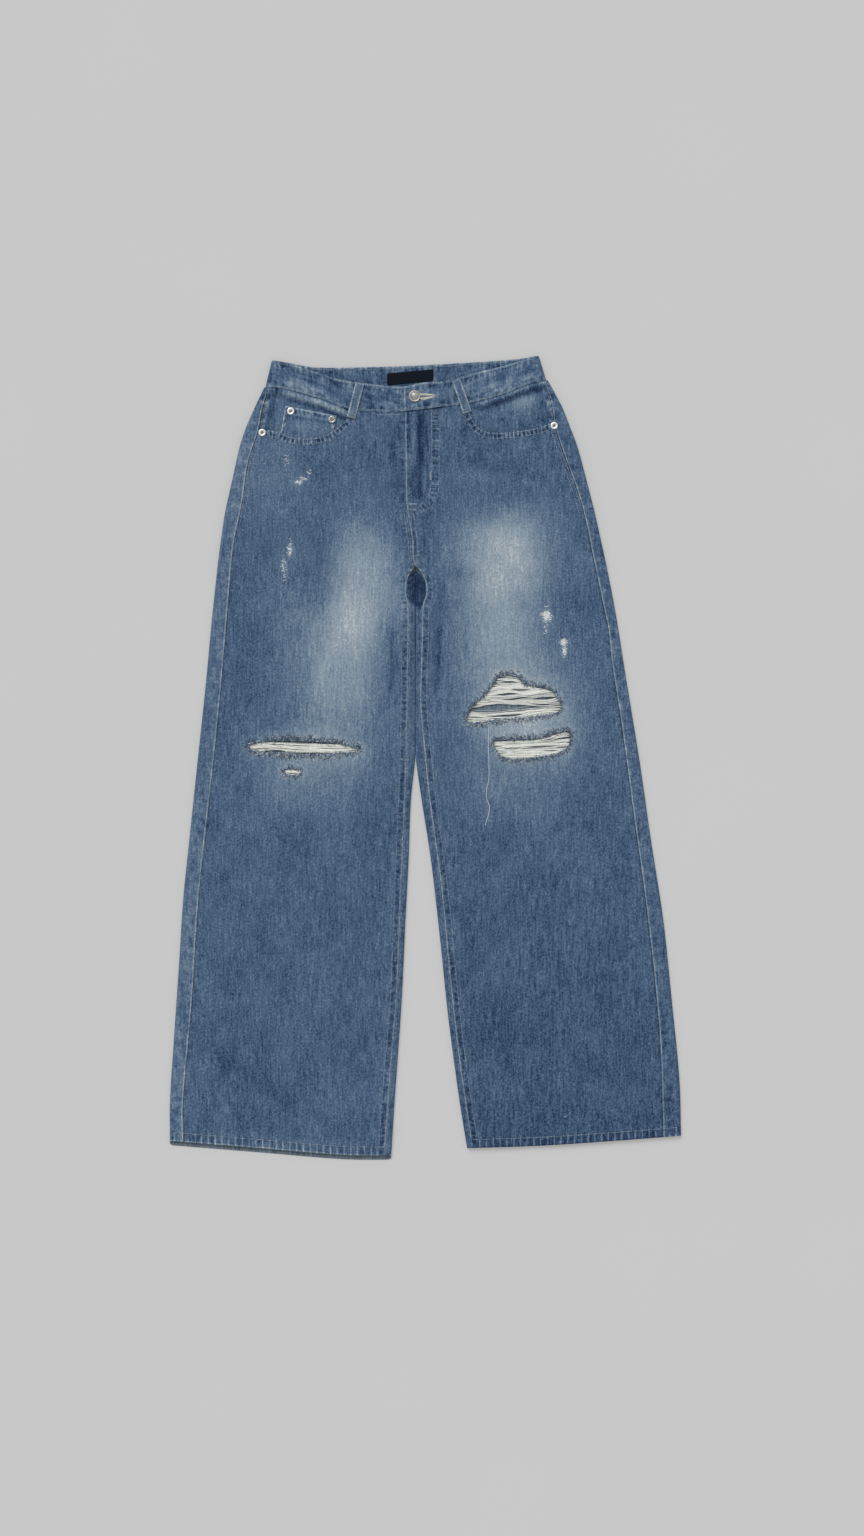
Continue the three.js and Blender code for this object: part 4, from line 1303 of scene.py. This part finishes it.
def resampled(line, spacing):
    """Points at even steps along a line."""
    along = lengths_along(line)
    at = np.arange(0, along[-1], spacing)
    return np.stack([np.interp(at, along, line[:, k]) for k in (0, 1)], -1)


def offset(line, distance):
    """A line beside another: positive is to its left."""
    tangent = unit_tangents(line)
    return line + distance * np.stack([-tangent[:, 1], tangent[:, 0]], -1)


def stitch_paths(line, surface, pitch=3.25, length=3.0, height=0.2):
    """The stitches along a line, each pulled into the cloth at its ends."""
    fine = resampled(np.asarray(line, float), STITCH_STEP)
    step, half = int(pitch / STITCH_STEP), int(length / 2 / STITCH_STEP)
    centres = np.arange(half + 1, len(fine) - half - 1, step)
    if not len(centres):
        return np.zeros((0, 4, 3))
    picks = centres[:, None] + np.array([-half, -half // 2, half // 2, half])[None, :]
    spots = fine[picks]
    z = surface.height(spots[:, [0, 3], 0], spots[:, [0, 3], 1])
    z = np.stack([z[:, 0], mix(z[:, 0], z[:, 1], 0.25), mix(z[:, 0], z[:, 1], 0.75), z[:, 1]], 1)
    lift = np.array([0.4, 0.18, 0.18, 0.4] if surface.below else [-0.25, height, height, -0.25])
    return np.concatenate([spots, np.maximum(z + lift, LOWEST_STITCH)[:, :, None]], 2)


def bar_tack_paths(a, b, surface, width=2.4, spacing=0.55):
    """A dense bar of thread from a to b."""
    a, b = np.array(a, float), np.array(b, float)
    count = max(3, int(np.hypot(*(b - a)) / spacing))
    way = (b - a) / np.hypot(*(b - a))
    side = np.array([-way[1], way[0]]) * width / 2
    centre = a + (b - a) * np.linspace(0, 1, count)[:, None]
    spots = centre[:, None] + np.array([-1, -0.5, 0.5, 1])[None, :, None] * side
    z = surface.height(centre[:, 0], centre[:, 1])[:, None]
    z = z + np.array([-0.2, 0.45, 0.45, -0.2])
    return np.concatenate([spots, z[:, :, None]], 2)


def sew(name, groups, material=None, width=0.42, seed=1):
    """Joins rows of stitches in one piece."""
    paths = np.concatenate([g for g in groups if len(g)])
    tone = dice(seed).uniform(0.25, 0.85, len(paths))
    return tubes(name, paths, width, material or STITCH, tone)


# ---- stitching of each piece


def down(curve, start, end, shift=0.0):
    """The line of x = curve(y) + shift between two heights."""
    y = np.linspace(start, end, 80)
    return np.stack([curve(y) + shift, y], -1)


def across_line(curve, start, end, shift=0.0):
    """The line of y = curve(x) + shift between two places."""
    x = np.linspace(start, end, 120)
    return np.stack([x, curve(x) + shift], -1)


def panel_lines(leg):
    """The rows of a front panel: along the pocket, down the outseam, and down the inseam."""
    side = leg.side
    top, low = leg.pocket_edge[0][1] - 6, leg.hem(side * 60) + 14
    lines = [offset(leg.pocket_line, side * gap) for gap in (1.7, 7.6)]
    lines += [down(leg.outseam, top, 312, -side * gap) for gap in (1.8, 6.5)]
    lines += [down(leg.inseam, 238, low, side * gap) for gap in (1.6, 8.8)]
    return lines


def hem_row(leg, surface, above=11.0, shift=0.0, inner=None):
    side = leg.side
    start = leg.inseam(-500) + side * 2 if inner is None else inner
    end = leg.outer_fold(-495) - side * 3
    return stitch_paths(across_line(leg.hem, float(start), float(end), above - shift), surface)


def fly_rows(surface):
    outer_j = [(17.5, 449), (17.8, 400), (17.0, 350), (11, 331), (0, 321.5), (-9, 318), (-15, 317)]
    inner_j = [(8, 449), (8.4, 400), (7.6, 358), (4, 342), (-3, 332), (-9, 326), (-15, 324)]
    rows = [stitch_paths(curve_through(j), surface) for j in (outer_j, inner_j)]
    rows += [stitch_paths(down(rise_line, 447, 330, 1.8), surface)]
    rows += [stitch_paths(down(rise_line, 312, 252, gap), surface) for gap in (1.8, 7.0)]
    tacks = [
        ((-24, 330), (-12, 330), 2.6, 0.55), ((-23, 323), (-13, 322), 2.0, 0.9),
        ((-16, 317), (-13, 307), 2.2, 0.9), ((6.5, 372), (6.5, 362), 2.4, 0.55),
    ]
    return rows + [bar_tack_paths(a, b, surface, width, spacing) for a, b, width, spacing in tacks]


def sew_front(name, panel):
    leg = LEGS[name]
    surface = Surface(panel)
    rows = [stitch_paths(line, surface) for line in panel_lines(leg)] + [hem_row(leg, surface)]
    if name == "left":
        rows += fly_rows(surface)
    else:
        rows += [stitch_paths(down(rise_line, 322, 252, -gap), surface) for gap in (1.8, 4.6)]
        rows.append(stitch_paths(across_line(front_band_seam, -64, -32, -3.5), surface))
    return sew("stitches_front_" + name, rows)


def sew_back(name, panel, yoke, pocket):
    leg = LEGS[name]
    side = leg.side
    seat = Surface(panel, yoke, below=True)
    inner = float(CENTRE_BACK + side * 3)
    fold = float(leg.outer_fold(440) - side * 6)
    reach = abs(fold - CENTRE_BACK)

    def seam(x):
        return mix(YOKE_CENTRE, leg.yoke_side, np.abs(x - CENTRE_BACK) / (reach + 6))

    rows = [stitch_paths(across_line(seam, inner, fold, gap), seat) for gap in (-2.2, -8.0)]
    rows += [stitch_paths(np.array([(inner, 400), (inner, 256)]), seat)]
    low_start = float(leg.inner_fold(-500) + side * 8)
    rows.append(hem_row(leg, seat, inner=low_start, shift=1))
    patch = Surface(pocket, below=True)
    for gap in (2.2, 8.2):
        centre = np.array([113.0, 335.0])
        ring = np.array(PATCH_OUTLINE, float)
        ring = ring + (centre - ring) * (gap / 58)
        ring[0, 1], ring[-1, 1] = 387, 396.5
        line = np.stack([CENTRE_BACK + side * ring[:, 0], ring[:, 1]], -1)
        rows.append(stitch_paths(line, patch))
    mouth = np.array([(CENTRE_BACK + side * 47, 376.0), (CENTRE_BACK + side * 178, 386.0)])
    rows.append(stitch_paths(mouth, patch))
    return sew("stitches_back_" + name, rows)


def sew_band(band):
    top = Surface(band)
    rows = []
    for start, end in ((OVER_END + 2, 140), (-196, OVER_END - 1)):
        rows.append(stitch_paths(across_line(front_band_top, start, end, -2.4), top))
        rows.append(stitch_paths(across_line(front_band_seam, start - 4, end + 4, 2.6), top))
    end_line = np.array([(OVER_END + 2.4, 480.0), (OVER_END + 2.4, 453.5)])
    rows += [stitch_paths(end_line, top), stitch_paths(end_line + (3.2, 0), top)]
    inner_face = Surface(band)
    inner_face.height = lambda x, y: np.full(np.shape(x), LAYER + BAND_CLOTH + 0.1)
    rows.append(stitch_paths(across_line(back_band_top, -150, 105, -3.0), inner_face))
    under_face = Surface(band, below=True)
    rows.append(stitch_paths(across_line(back_band_top, -196, 144, -2.6), under_face))
    rows.append(stitch_paths(across_line(back_band_seam, -200, 150, 3.0), under_face))
    return sew("stitches_waistband", rows)


def buttonhole(band):
    """A keyhole worked in pale gold thread, with the slot dark between its two sides."""
    top = Surface(band)
    tip, eye = np.array([11.5, 470.5]), np.array([-6.5, 469.3])
    way = (tip - eye) / np.hypot(*(tip - eye))
    side = np.array([-way[1], way[0]])
    paths = []
    for sign in (1, -1):
        for t in np.linspace(0, 1, 26):
            root = eye + (tip - eye) * t + side * sign * mix(1.1, 0.2, t)
            far = root + side * sign * mix(3.0, 1.3, t) + way * 0.3
            spots = np.array([mix(root, far, k) for k in (0, 0.3, 0.7, 1)])
            z = top.height(spots[:, 0], spots[:, 1]) + np.array([0.0, 0.6, 0.55, -0.1])
            paths.append(np.column_stack([spots, z]))
    for sign in (1, -1):
        bar = [eye + way * k + side * sign * mix(4.6, 1.8, k / 17) for k in (0, 6, 12, 17)]
        bar = np.array(bar)
        z = top.height(bar[:, 0], bar[:, 1]) + 0.25
        paths.append(np.column_stack([bar, z]))
    return tubes("buttonhole", paths, 0.38, GOLD_STITCH, dice(5).uniform(0.3, 1, len(paths)))


# ---- loops and label


def front_loop(name, top, foot):
    top, foot = np.array(top, float), np.array(foot, float)
    s, t = patch(12, 36, -0.5, 0.5)
    way = top - foot
    length = np.hypot(*way)
    way = way / length
    side = np.array([way[1], -way[0]])
    x = mix(foot[0], top[0], t) + side[0] * s * LOOP_WIDTH
    y = mix(foot[1], top[1], t) + side[1] * s * LOOP_WIDTH
    base = np.maximum(upper(x, y), BAND_TOP) + 1.5
    z = base + 0.9 * np.sin(np.pi * np.clip((t - 0.1) / 0.9, 0, 1)) + 0.5 - 0.7 * (2 * s) ** 6
    z = z + 0.18 * NOISE[2](s * 2, t * 9)
    seams = Seams(x.shape)
    edge = (0.5 - np.abs(s)) * LOOP_WIDTH
    run = t * length + 40 * s
    seams.add(edge, run, pitch=6, reach=3.6, height=0.1, pale=1.1, ripple=0.2, seed=1)
    seams.add(t * length, s * 9, pitch=3, reach=2, height=0, pale=0.8, ripple=0.1, seed=2)
    seams.add((1 - t) * length, s * 9, pitch=3, reach=3, height=0, pale=0.7, ripple=0.1, seed=2)
    wear_and_shade = 0.38 + 0.09 * NOISE[5](s * 2, t * 6)
    piece = cloth("loop_" + name, "belt_loop_" + name, (x, y, z), True, seams, wear_and_shade, reverse=False)
    surface = Surface(piece)
    rows = []
    for sign in (-1, 1):
        beside = side * sign * 3.7
        line = np.array([foot + beside + way * 1.5, top + beside - way * 1.5])
        rows.append(stitch_paths(line, surface, pitch=3.0, length=2.6))
    for k in (1.6, 4.6):
        a, b = foot + way * k - side * 4.9, foot + way * k + side * 4.9
        rows.append(bar_tack_paths(a, b, surface, width=1.4, spacing=0.6))
    sew("stitches_loop_" + name, rows, width=0.36)
    return piece


def back_loop(name, x_at):
    high = float(back_band_top(x_at)) - 0.5
    s, t = patch(10, 34, -0.5, 0.5)
    x, y = x_at + s * LOOP_WIDTH, high - BACK_LOOP_LENGTH + BACK_LOOP_LENGTH * t
    z = 0.05 + 0.5 * (2 * s) ** 6 + 0.1 * (1 + NOISE[2](s * 2, t * 9))
    seams = Seams(x.shape)
    edge = (0.5 - np.abs(s)) * LOOP_WIDTH
    run = t * BACK_LOOP_LENGTH
    seams.add(edge, run, pitch=6, reach=3.6, height=0, pale=0.8, seed=1)
    return cloth("loop_" + name, "belt_loop_" + name, (x, y, z), False, seams, 0.3,
                 thickness=0.9, reverse=False)


def label():
    """The woven label, bare, with slightly rounded corners."""
    s, t = patch(56, 14)
    foot = mix(np.array([-49.8, 484.4]), np.array([10.2, 490.5]), s[..., None])
    head = mix(np.array([-50, 500]), np.array([10.4, 505.8]), s[..., None])
    tuck = 0.8 * (2 * t - 1) ** 4
    spot = mix(foot, head, t[..., None])
    middle = np.array([-20.5, 495.2])
    spot = middle + (spot - middle) * (1 - tuck[..., None] / 29 * np.abs(2 * s[..., None] - 1) ** 8)
    low = LAYER + BAND_CLOTH
    z = low + 0.75 + 0.12 * NOISE[2](s * 6, t * 2) + 0.1 * np.abs(2 * s - 1) ** 6
    points = np.concatenate([spot, z[..., None]], -1)
    faces = grid_faces(*s.shape, True).tolist()
    piece = new_object("neck_label", points.reshape(-1, 3), faces, [LABEL])
    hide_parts("label")
    return thicken(piece, 0.45)


# ---- metal trim


def turned(profile, segments=32):
    """A turned form from (radius, height) pairs: points and faces about the Z axis."""
    profile = np.array(profile, float)
    angle = np.arange(segments) * 2 * np.pi / segments
    ring = np.stack([np.cos(angle), np.sin(angle)], -1)
    heights = np.repeat(profile[:, None, 1:], segments, 1)
    points = np.concatenate([profile[:, None, :1] * ring, heights], -1)
    index = np.arange(len(profile) * segments).reshape(len(profile), segments)
    following = np.roll(index, -1, axis=1)
    faces = np.stack([index[:-1], following[:-1], following[1:], index[1:]], -1).reshape(-1, 4)
    return points.reshape(-1, 3), faces.tolist()


def metal(name, profile, place, materials, inner=0.0, segments=32):
    """A turned metal piece; inside the inner radius it takes the second material."""
    points, faces = turned(profile, segments)
    piece = new_object(name, points + np.array(place), faces, materials)
    for polygon in piece.data.polygons:
        centre = np.mean([points[k] for k in polygon.vertices], axis=0)
        polygon.material_index = int(np.hypot(*centre[:2]) < inner)
    return piece


def button(band):
    """A cast jeans button: a rolled rim round a plain dome with a ring of small beads."""
    x, y = BUTTON
    z = Surface(band).at(x - 9, y) + 0.2
    profile = [
        (0.01, -1.5), (3, -1.5), (3, 0.1), (6.9, 0.2), (7.5, 0.6), (7.7, 1.2), (7.5, 1.8),
        (6.9, 2.2), (6.2, 2.1), (5.7, 1.5), (5.2, 1.3), (4.8, 1.6), (4.0, 2.2), (2.6, 2.7),
        (1.3, 2.95), (0.01, 3.0),
    ]
    materials = [AGED_METAL, CAST_METAL]
    piece = metal("jeans_button", profile, (x, y, z), materials, inner=5.0, segments=40)
    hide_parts("button")
    angle = np.arange(18) * 2 * np.pi / 18
    spots = np.stack([x + 5.45 * np.cos(angle), y + 5.45 * np.sin(angle), 0 * angle + z + 1.5], -1)
    beads = spots[:, None] + np.array([(0, 0, -0.4), (0, 0.01, 0.2), (0, 0.02, 0.6)])[None]
    tubes("button_beads", beads, 0.42, AGED_METAL, sides=6, ends=0.6)
    return piece


RIVET_PLACES = {
    "pocket_right": (-212, 423), "pocket_left": (167, 432), "coin_outer": (-175, 451),
    "coin_inner": (-121.5, 440),
}


def rivet(name, surface):
    """A washer with a rounded rim and a dark sunk centre with the pin's end in it."""
    x, y = RIVET_PLACES[name]
    z = surface.at(x, y)
    profile = [
        (0.01, -0.6), (4.4, -0.6), (4.8, 0.2), (4.75, 0.7), (4.3, 1.15), (3.5, 1.3), (2.7, 1.1),
        (2.1, 0.55), (1.6, 0.45), (1.2, 0.9), (0.6, 1.1), (0.01, 1.15),
    ]
    materials = [AGED_METAL, DARK_METAL] if name == "coin_inner" else [NICKEL, DARK_METAL]
    piece = metal("rivet_cap_" + name, profile, (x, y, z + 0.3), materials, inner=2.3)
    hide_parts("rivet_" + name)
    return piece


# ---- bared weft and fraying

# Each rip's threads run from its left side to its right side; slots are where they part,
# as (x, y, half length, half height).
WEFTS = {
    "knee": {
        "tone": 0.9,
        "left": [(-229, 9.5), (-233, 15.5), (-224, 22)],
        "right": [(-86, 8.5), (-80, 11.5), (-90, 18)],
        "bend": 1.0, "layers": 2, "pitch": 0.5,
        "slots": [
            (-130, 13, 48, 0.55), (-196, 9.5, 22, 1.6), (-120, 22, 30, 0.9), (-165, 21, 26, 0.8),
        ],
    },
    "knee_small": {
        "tone": 0.95,
        "left": [(-181, -21.5), (-188, -17), (-178, -13.5)],
        "right": [(-164, -21.5), (-161, -18), (-163, -14.5)],
        "bend": 1.0, "layers": 2, "pitch": 0.6, "slots": [],
    },
    "upper": {
        "tone": 0.86,
        "left": [(64, 45.5), (52, 49), (60, 67), (79, 85), (88, 96), (95, 108)],
        "right": [(148, 55), (171, 60), (177, 70), (172, 80), (165, 87), (130, 96), (122, 106)],
        "bend": 1.6, "layers": 3, "pitch": 0.62,
        "slots": [
            (94, 66.5, 42, 4.4), (106, 83, 18, 1.7), (118, 77.5, 22, 1.4), (154, 78, 18, 2.0),
            (124, 89, 16, 1.2), (106, 55.5, 30, 1.6), (150, 70, 14, 1.0), (108, 99, 12, 1.0),
        ],
    },
    "lower": {
        "tone": 0.94,
        "left": [(100, 0), (91, 11), (87, 23)],
        "right": [(160, 3), (186, 12), (190, 26), (185, 37)],
        "bend": 2.0, "layers": 3, "pitch": 0.6,
        "slots": [
            (143, 26.5, 26, 1.8), (150, 15, 22, 0.8), (162, 10, 14, 0.8), (118, 14, 20, 0.5),
        ],
    },
}


def weft_threads(name):
    """The threads left across a rip, in loose layers, parted where a slot shows."""
    weft = WEFTS[name]
    rng = dice(len(name) + 20)
    left, right = (curve_through(weft[key], 0.5) for key in ("left", "right"))
    height = abs(weft["left"][-1][1] - weft["left"][0][1])
    count = int(height / weft["pitch"]) * weft["layers"]
    v = np.sort(rng.uniform(0, 1, count))
    v = v + 0.012 * np.sin(v * count * 0.55)
    v = np.clip(v, 0, 1)
    layer = rng.integers(0, weft["layers"], count)
    pick = [(v * (len(side) - 1)).astype(int) for side in (left, right)]
    start, end = left[pick[0]], right[pick[1]]
    u = np.linspace(0, 1, 26)[None, :]
    x = mix(start[:, :1], end[:, :1], u)
    y = mix(start[:, 1:], end[:, 1:], u ** weft["bend"])
    slack = rng.normal(0, 0.7, (count, 1)) * np.sin(np.pi * u) ** 0.7
    slack = slack + 0.9 * NOISE[2](x / 16, v[:, None] * 40)
    y = y + (slack + 0.45 * NOISE[4](x / 6, v[:, None] * 80))
    row = np.arange(count)
    for cx, cy, half_length, half_height in weft["slots"]:
        nearest = np.abs(x - cx).argmin(1)
        way = np.where(y[row, nearest] < cy, -1, 1)[:, None]
        opening = half_height * np.clip(1 - ((x - cx) / half_length) ** 2, 0, 1)
        y = y + way * opening * np.clip(1 - way * (y - cy) / (7 * half_height), 0, 1)
    z = upper(x, y) - 0.75 - 0.42 * layer[:, None] + 0.25 * NOISE[3](x / 12, v[:, None] * 60)
    radius = rng.uniform(0.24, 0.42, count)
    strand = 0.20 * NOISE[5](v * 26, 0.5 + 0 * v)
    # Lower layers are painted darker, as shade beneath the upper threads.
    tone = weft["tone"] - 0.20 * layer + strand + rng.normal(0, 0.14, count)
    paths = np.stack([x, y, z], -1)
    piece = tubes("weft_" + name, paths, radius, WEFT, tone, ends=0.8)
    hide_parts("rip_threads_" + name)
    return piece


def curled_fibres(rng, x, y, angle, length, surface, curl=1.0, lift=0.5):
    """Short loose fibres that start at x, y and curl as they go."""
    count = len(x)
    bend = rng.normal(0, curl, count)
    paths = np.zeros((count, 5, 3))
    paths[:, 0, 0], paths[:, 0, 1] = x, y
    for k in range(1, 5):
        angle = angle + bend / 4
        paths[:, k, 0] = paths[:, k - 1, 0] + np.cos(angle) * length / 4
        paths[:, k, 1] = paths[:, k - 1, 1] + np.sin(angle) * length / 4
    z = surface(x, y)
    rise = rng.uniform(0.05, 1, count) * lift
    paths[:, :, 2] = z[:, None] + 0.15 + rise[:, None] * np.array([0, 0.6, 1, 0.9, 0.4])
    return paths


def rip_fray(name):
    """The ragged edge of a rip: warp ends in indigo, and weft loops in white."""
    rip = RIPS[name]
    leg = LEGS[rip["leg"]]
    rng = dice(len(name) + 40)
    line = rip["line"]
    per_mm, reach = {"knee": (4.2, 2.6), "knee_small": (2.4, 1.2)}.get(name, (3.6, 1.8))
    length = np.hypot(*np.diff(line, axis=0).T).sum()
    pick = rng.integers(0, len(line) - 1, int(length * per_mm))
    tangent = line[(pick + 2) % len(line)] - line[pick - 2]
    outward = np.arctan2(-tangent[:, 0], tangent[:, 1])
    middle = line.mean(0)
    way = np.stack([np.cos(outward), np.sin(outward)], -1)
    away = np.einsum("ij,ij->i", line[pick] - middle, way)
    outward = np.where(away < 0, outward + np.pi, outward)
    steep = np.abs(np.sin(outward))
    spread = np.abs(rng.normal(0, reach, len(pick))) - 0.6
    x = line[pick, 0] + np.cos(outward) * spread
    y = line[pick, 1] + np.sin(outward) * spread * (0.4 + 0.9 * steep)
    inward = rng.uniform(0, 1, len(pick)) < 0.42
    angle = outward + np.where(inward, np.pi, 0) + rng.normal(0, 0.8, len(pick))
    size = rng.uniform(1.6, 4.6, len(pick)) * (0.6 + 0.6 * steep) * np.where(inward, 0.6, 1.15)
    white = rng.uniform(0, 1, len(pick)) < np.where(np.sin(outward) < -0.3, 0.36, 0.16)
    tone = np.where(white, rng.uniform(0.6, 1.0, len(pick)), rng.uniform(0.0, 0.42, len(pick)))

    def surface(px, py):
        return front_height(leg, px, py) - 0.2

    paths = curled_fibres(rng, x, y, angle, size, surface, curl=1.5, lift=0.8)
    radius = np.where(white, 0.30, 0.34) * rng.uniform(0.7, 1.2, len(pick))
    return tubes("fray_" + name, paths, radius, FRAY, tone, sides=3)


def scuffs(name, panel):
    """Short bared threads where the face of the cloth has worn through."""
    rng = dice(61)
    surface = Surface(panel)
    side = LEGS[name].side
    groups, tones = [], []
    for cx, cy, half_x, half_y, count, white in SCUFFS:
        if (cx > 0) != (side > 0):
            continue
        x = cx + rng.normal(0, 0.45, count) * half_x
        y = cy + rng.normal(0, 0.5, count) * half_y
        level = rng.uniform(0, 1, count)
        pale = level < 0.35 + white * 0.6
        angle = np.where(pale, rng.normal(0.05, 0.3, count), rng.normal(1.5, 0.7, count))
        size = rng.uniform(1.8, 4.6, count) * np.where(pale, 1.0, 0.7)
        x = x - np.where(pale, size / 2, 0)
        groups.append(curled_fibres(rng, x, y, angle, size, surface.height, curl=0.45, lift=0.3))
        tones.append(np.where(pale, rng.uniform(0.75, 1, count), rng.uniform(0.2, 0.5, count)))
    paths, tone = np.concatenate(groups), np.concatenate(tones)
    return tubes("scuffs_" + name, paths, 0.38, FRAY, tone, sides=4)


def loose_thread(panel):
    """One long warp thread that has come away below the upper rip."""
    line = curve_through([
        (79.5, 48), (81.9, 40), (81.9, 15), (82.5, -24), (79.5, -40), (79.6, -52.6), (83.4, -65.4),
        (77, -89),
    ])
    spots = resampled(line, 2.0)
    z = Surface(panel).height(spots[:, 0], spots[:, 1]) + 0.35
    path = np.column_stack([spots, z])[None]
    return tubes("loose_thread", path, 0.52, FRAY, [0.74])


# ---- build

FLOOR_SIZE = 12  # metres


def lay_floor():
    bpy.ops.mesh.primitive_plane_add(size=FLOOR_SIZE, location=(0, 0, 0))
    made = bpy.context.object
    made.name = "floor"
    made.data.materials.append(FLOOR)
    return made


floor = lay_floor()
fronts, backs, yokes, facings, pockets = {}, {}, {}, {}, {}
for name in LEGS:
    fronts[name] = front_panel(name)
    backs[name] = back_panel(name)
    yokes[name] = back_yoke(name)
    facings[name] = pocket_facing(name)
    pockets[name] = back_pocket(name)
band = waistband()
coin = coin_pocket()

sewn, scuffed = {}, {}
for name in LEGS:
    sewn["front_" + name] = sew_front(name, fronts[name])
    sewn["back_" + name] = sew_back(name, backs[name], yokes[name], pockets[name])
    scuffed[name] = scuffs(name, fronts[name])
sewn["band"] = sew_band(band)
keyhole = buttonhole(band)
front_loops = [
    front_loop("front_right", (-85, 487), (-96.5, 442)),
    front_loop("front_left", (40, 491), (54.5, 448.5)),
]
back_loops = [
    back_loop("back_right", -120.0), back_loop("back_centre", -24.0), back_loop("back_left", 72.0),
]
neck_label = label()
button(band)
for name in LEGS:
    rivet("pocket_" + name, Surface(fronts[name], facings[name]))
for name in ("coin_outer", "coin_inner"):
    rivet(name, Surface(coin))
wefts = {name: weft_threads(name) for name in WEFTS}
frays = {name: rip_fray(name) for name in WEFTS}
stray = loose_thread(fronts["left"])

# ---- the cloth as it was cut


# Cut areas in square centimetres, worked out from the CAD solids' volumes and walls.
AREAS = {
    "right": {"front": 2333, "back": 2855, "yoke": 99, "facing": 83, "pocket": 156},
    "left": {"front": 2266, "back": 2771, "yoke": 88, "facing": 85, "pocket": 156},
}
for name, area in AREAS.items():
    rips = [k for k in RIPS if RIPS[k]["leg"] == name]
    on_front = [sewn["front_" + name], scuffed[name]]
    on_front += [wefts[k] for k in rips] + [frays[k] for k in rips]
    if name == "left":
        on_front.append(stray)

# ---- light and camera

WORLD_STRENGTH = 0.57
SUN_STRENGTH = 1.74
SUN_SPREAD = math.radians(35)
SUN_TILT = (math.radians(-38), math.radians(-22), 0)
CAMERA_PLACE = (0.00855, -0.013, 4.0)  # metres, straight above the garment
CAMERA_LENS, CAMERA_SENSOR = 72.1, 36  # millimetres


def light():
    world = bpy.data.worlds.new("studio")
    world.use_nodes = True
    background = world.node_tree.nodes["Background"]
    background.inputs["Color"].default_value = (1, 1, 1, 1)
    background.inputs["Strength"].default_value = WORLD_STRENGTH
    bpy.context.scene.world = world
    lamp = bpy.data.lights.new("softbox", "SUN")
    lamp.energy = SUN_STRENGTH
    lamp.angle = SUN_SPREAD
    made = bpy.data.objects.new("softbox", lamp)
    made.rotation_euler = SUN_TILT
    bpy.context.scene.collection.objects.link(made)


def camera():
    data = bpy.data.cameras.new("camera")
    data.lens = CAMERA_LENS
    data.sensor_width = CAMERA_SENSOR
    made = bpy.data.objects.new("camera", data)
    made.location = CAMERA_PLACE
    bpy.context.scene.collection.objects.link(made)
    bpy.context.scene.camera = made
    bpy.context.scene.view_settings.view_transform = "Standard"


light()
camera()
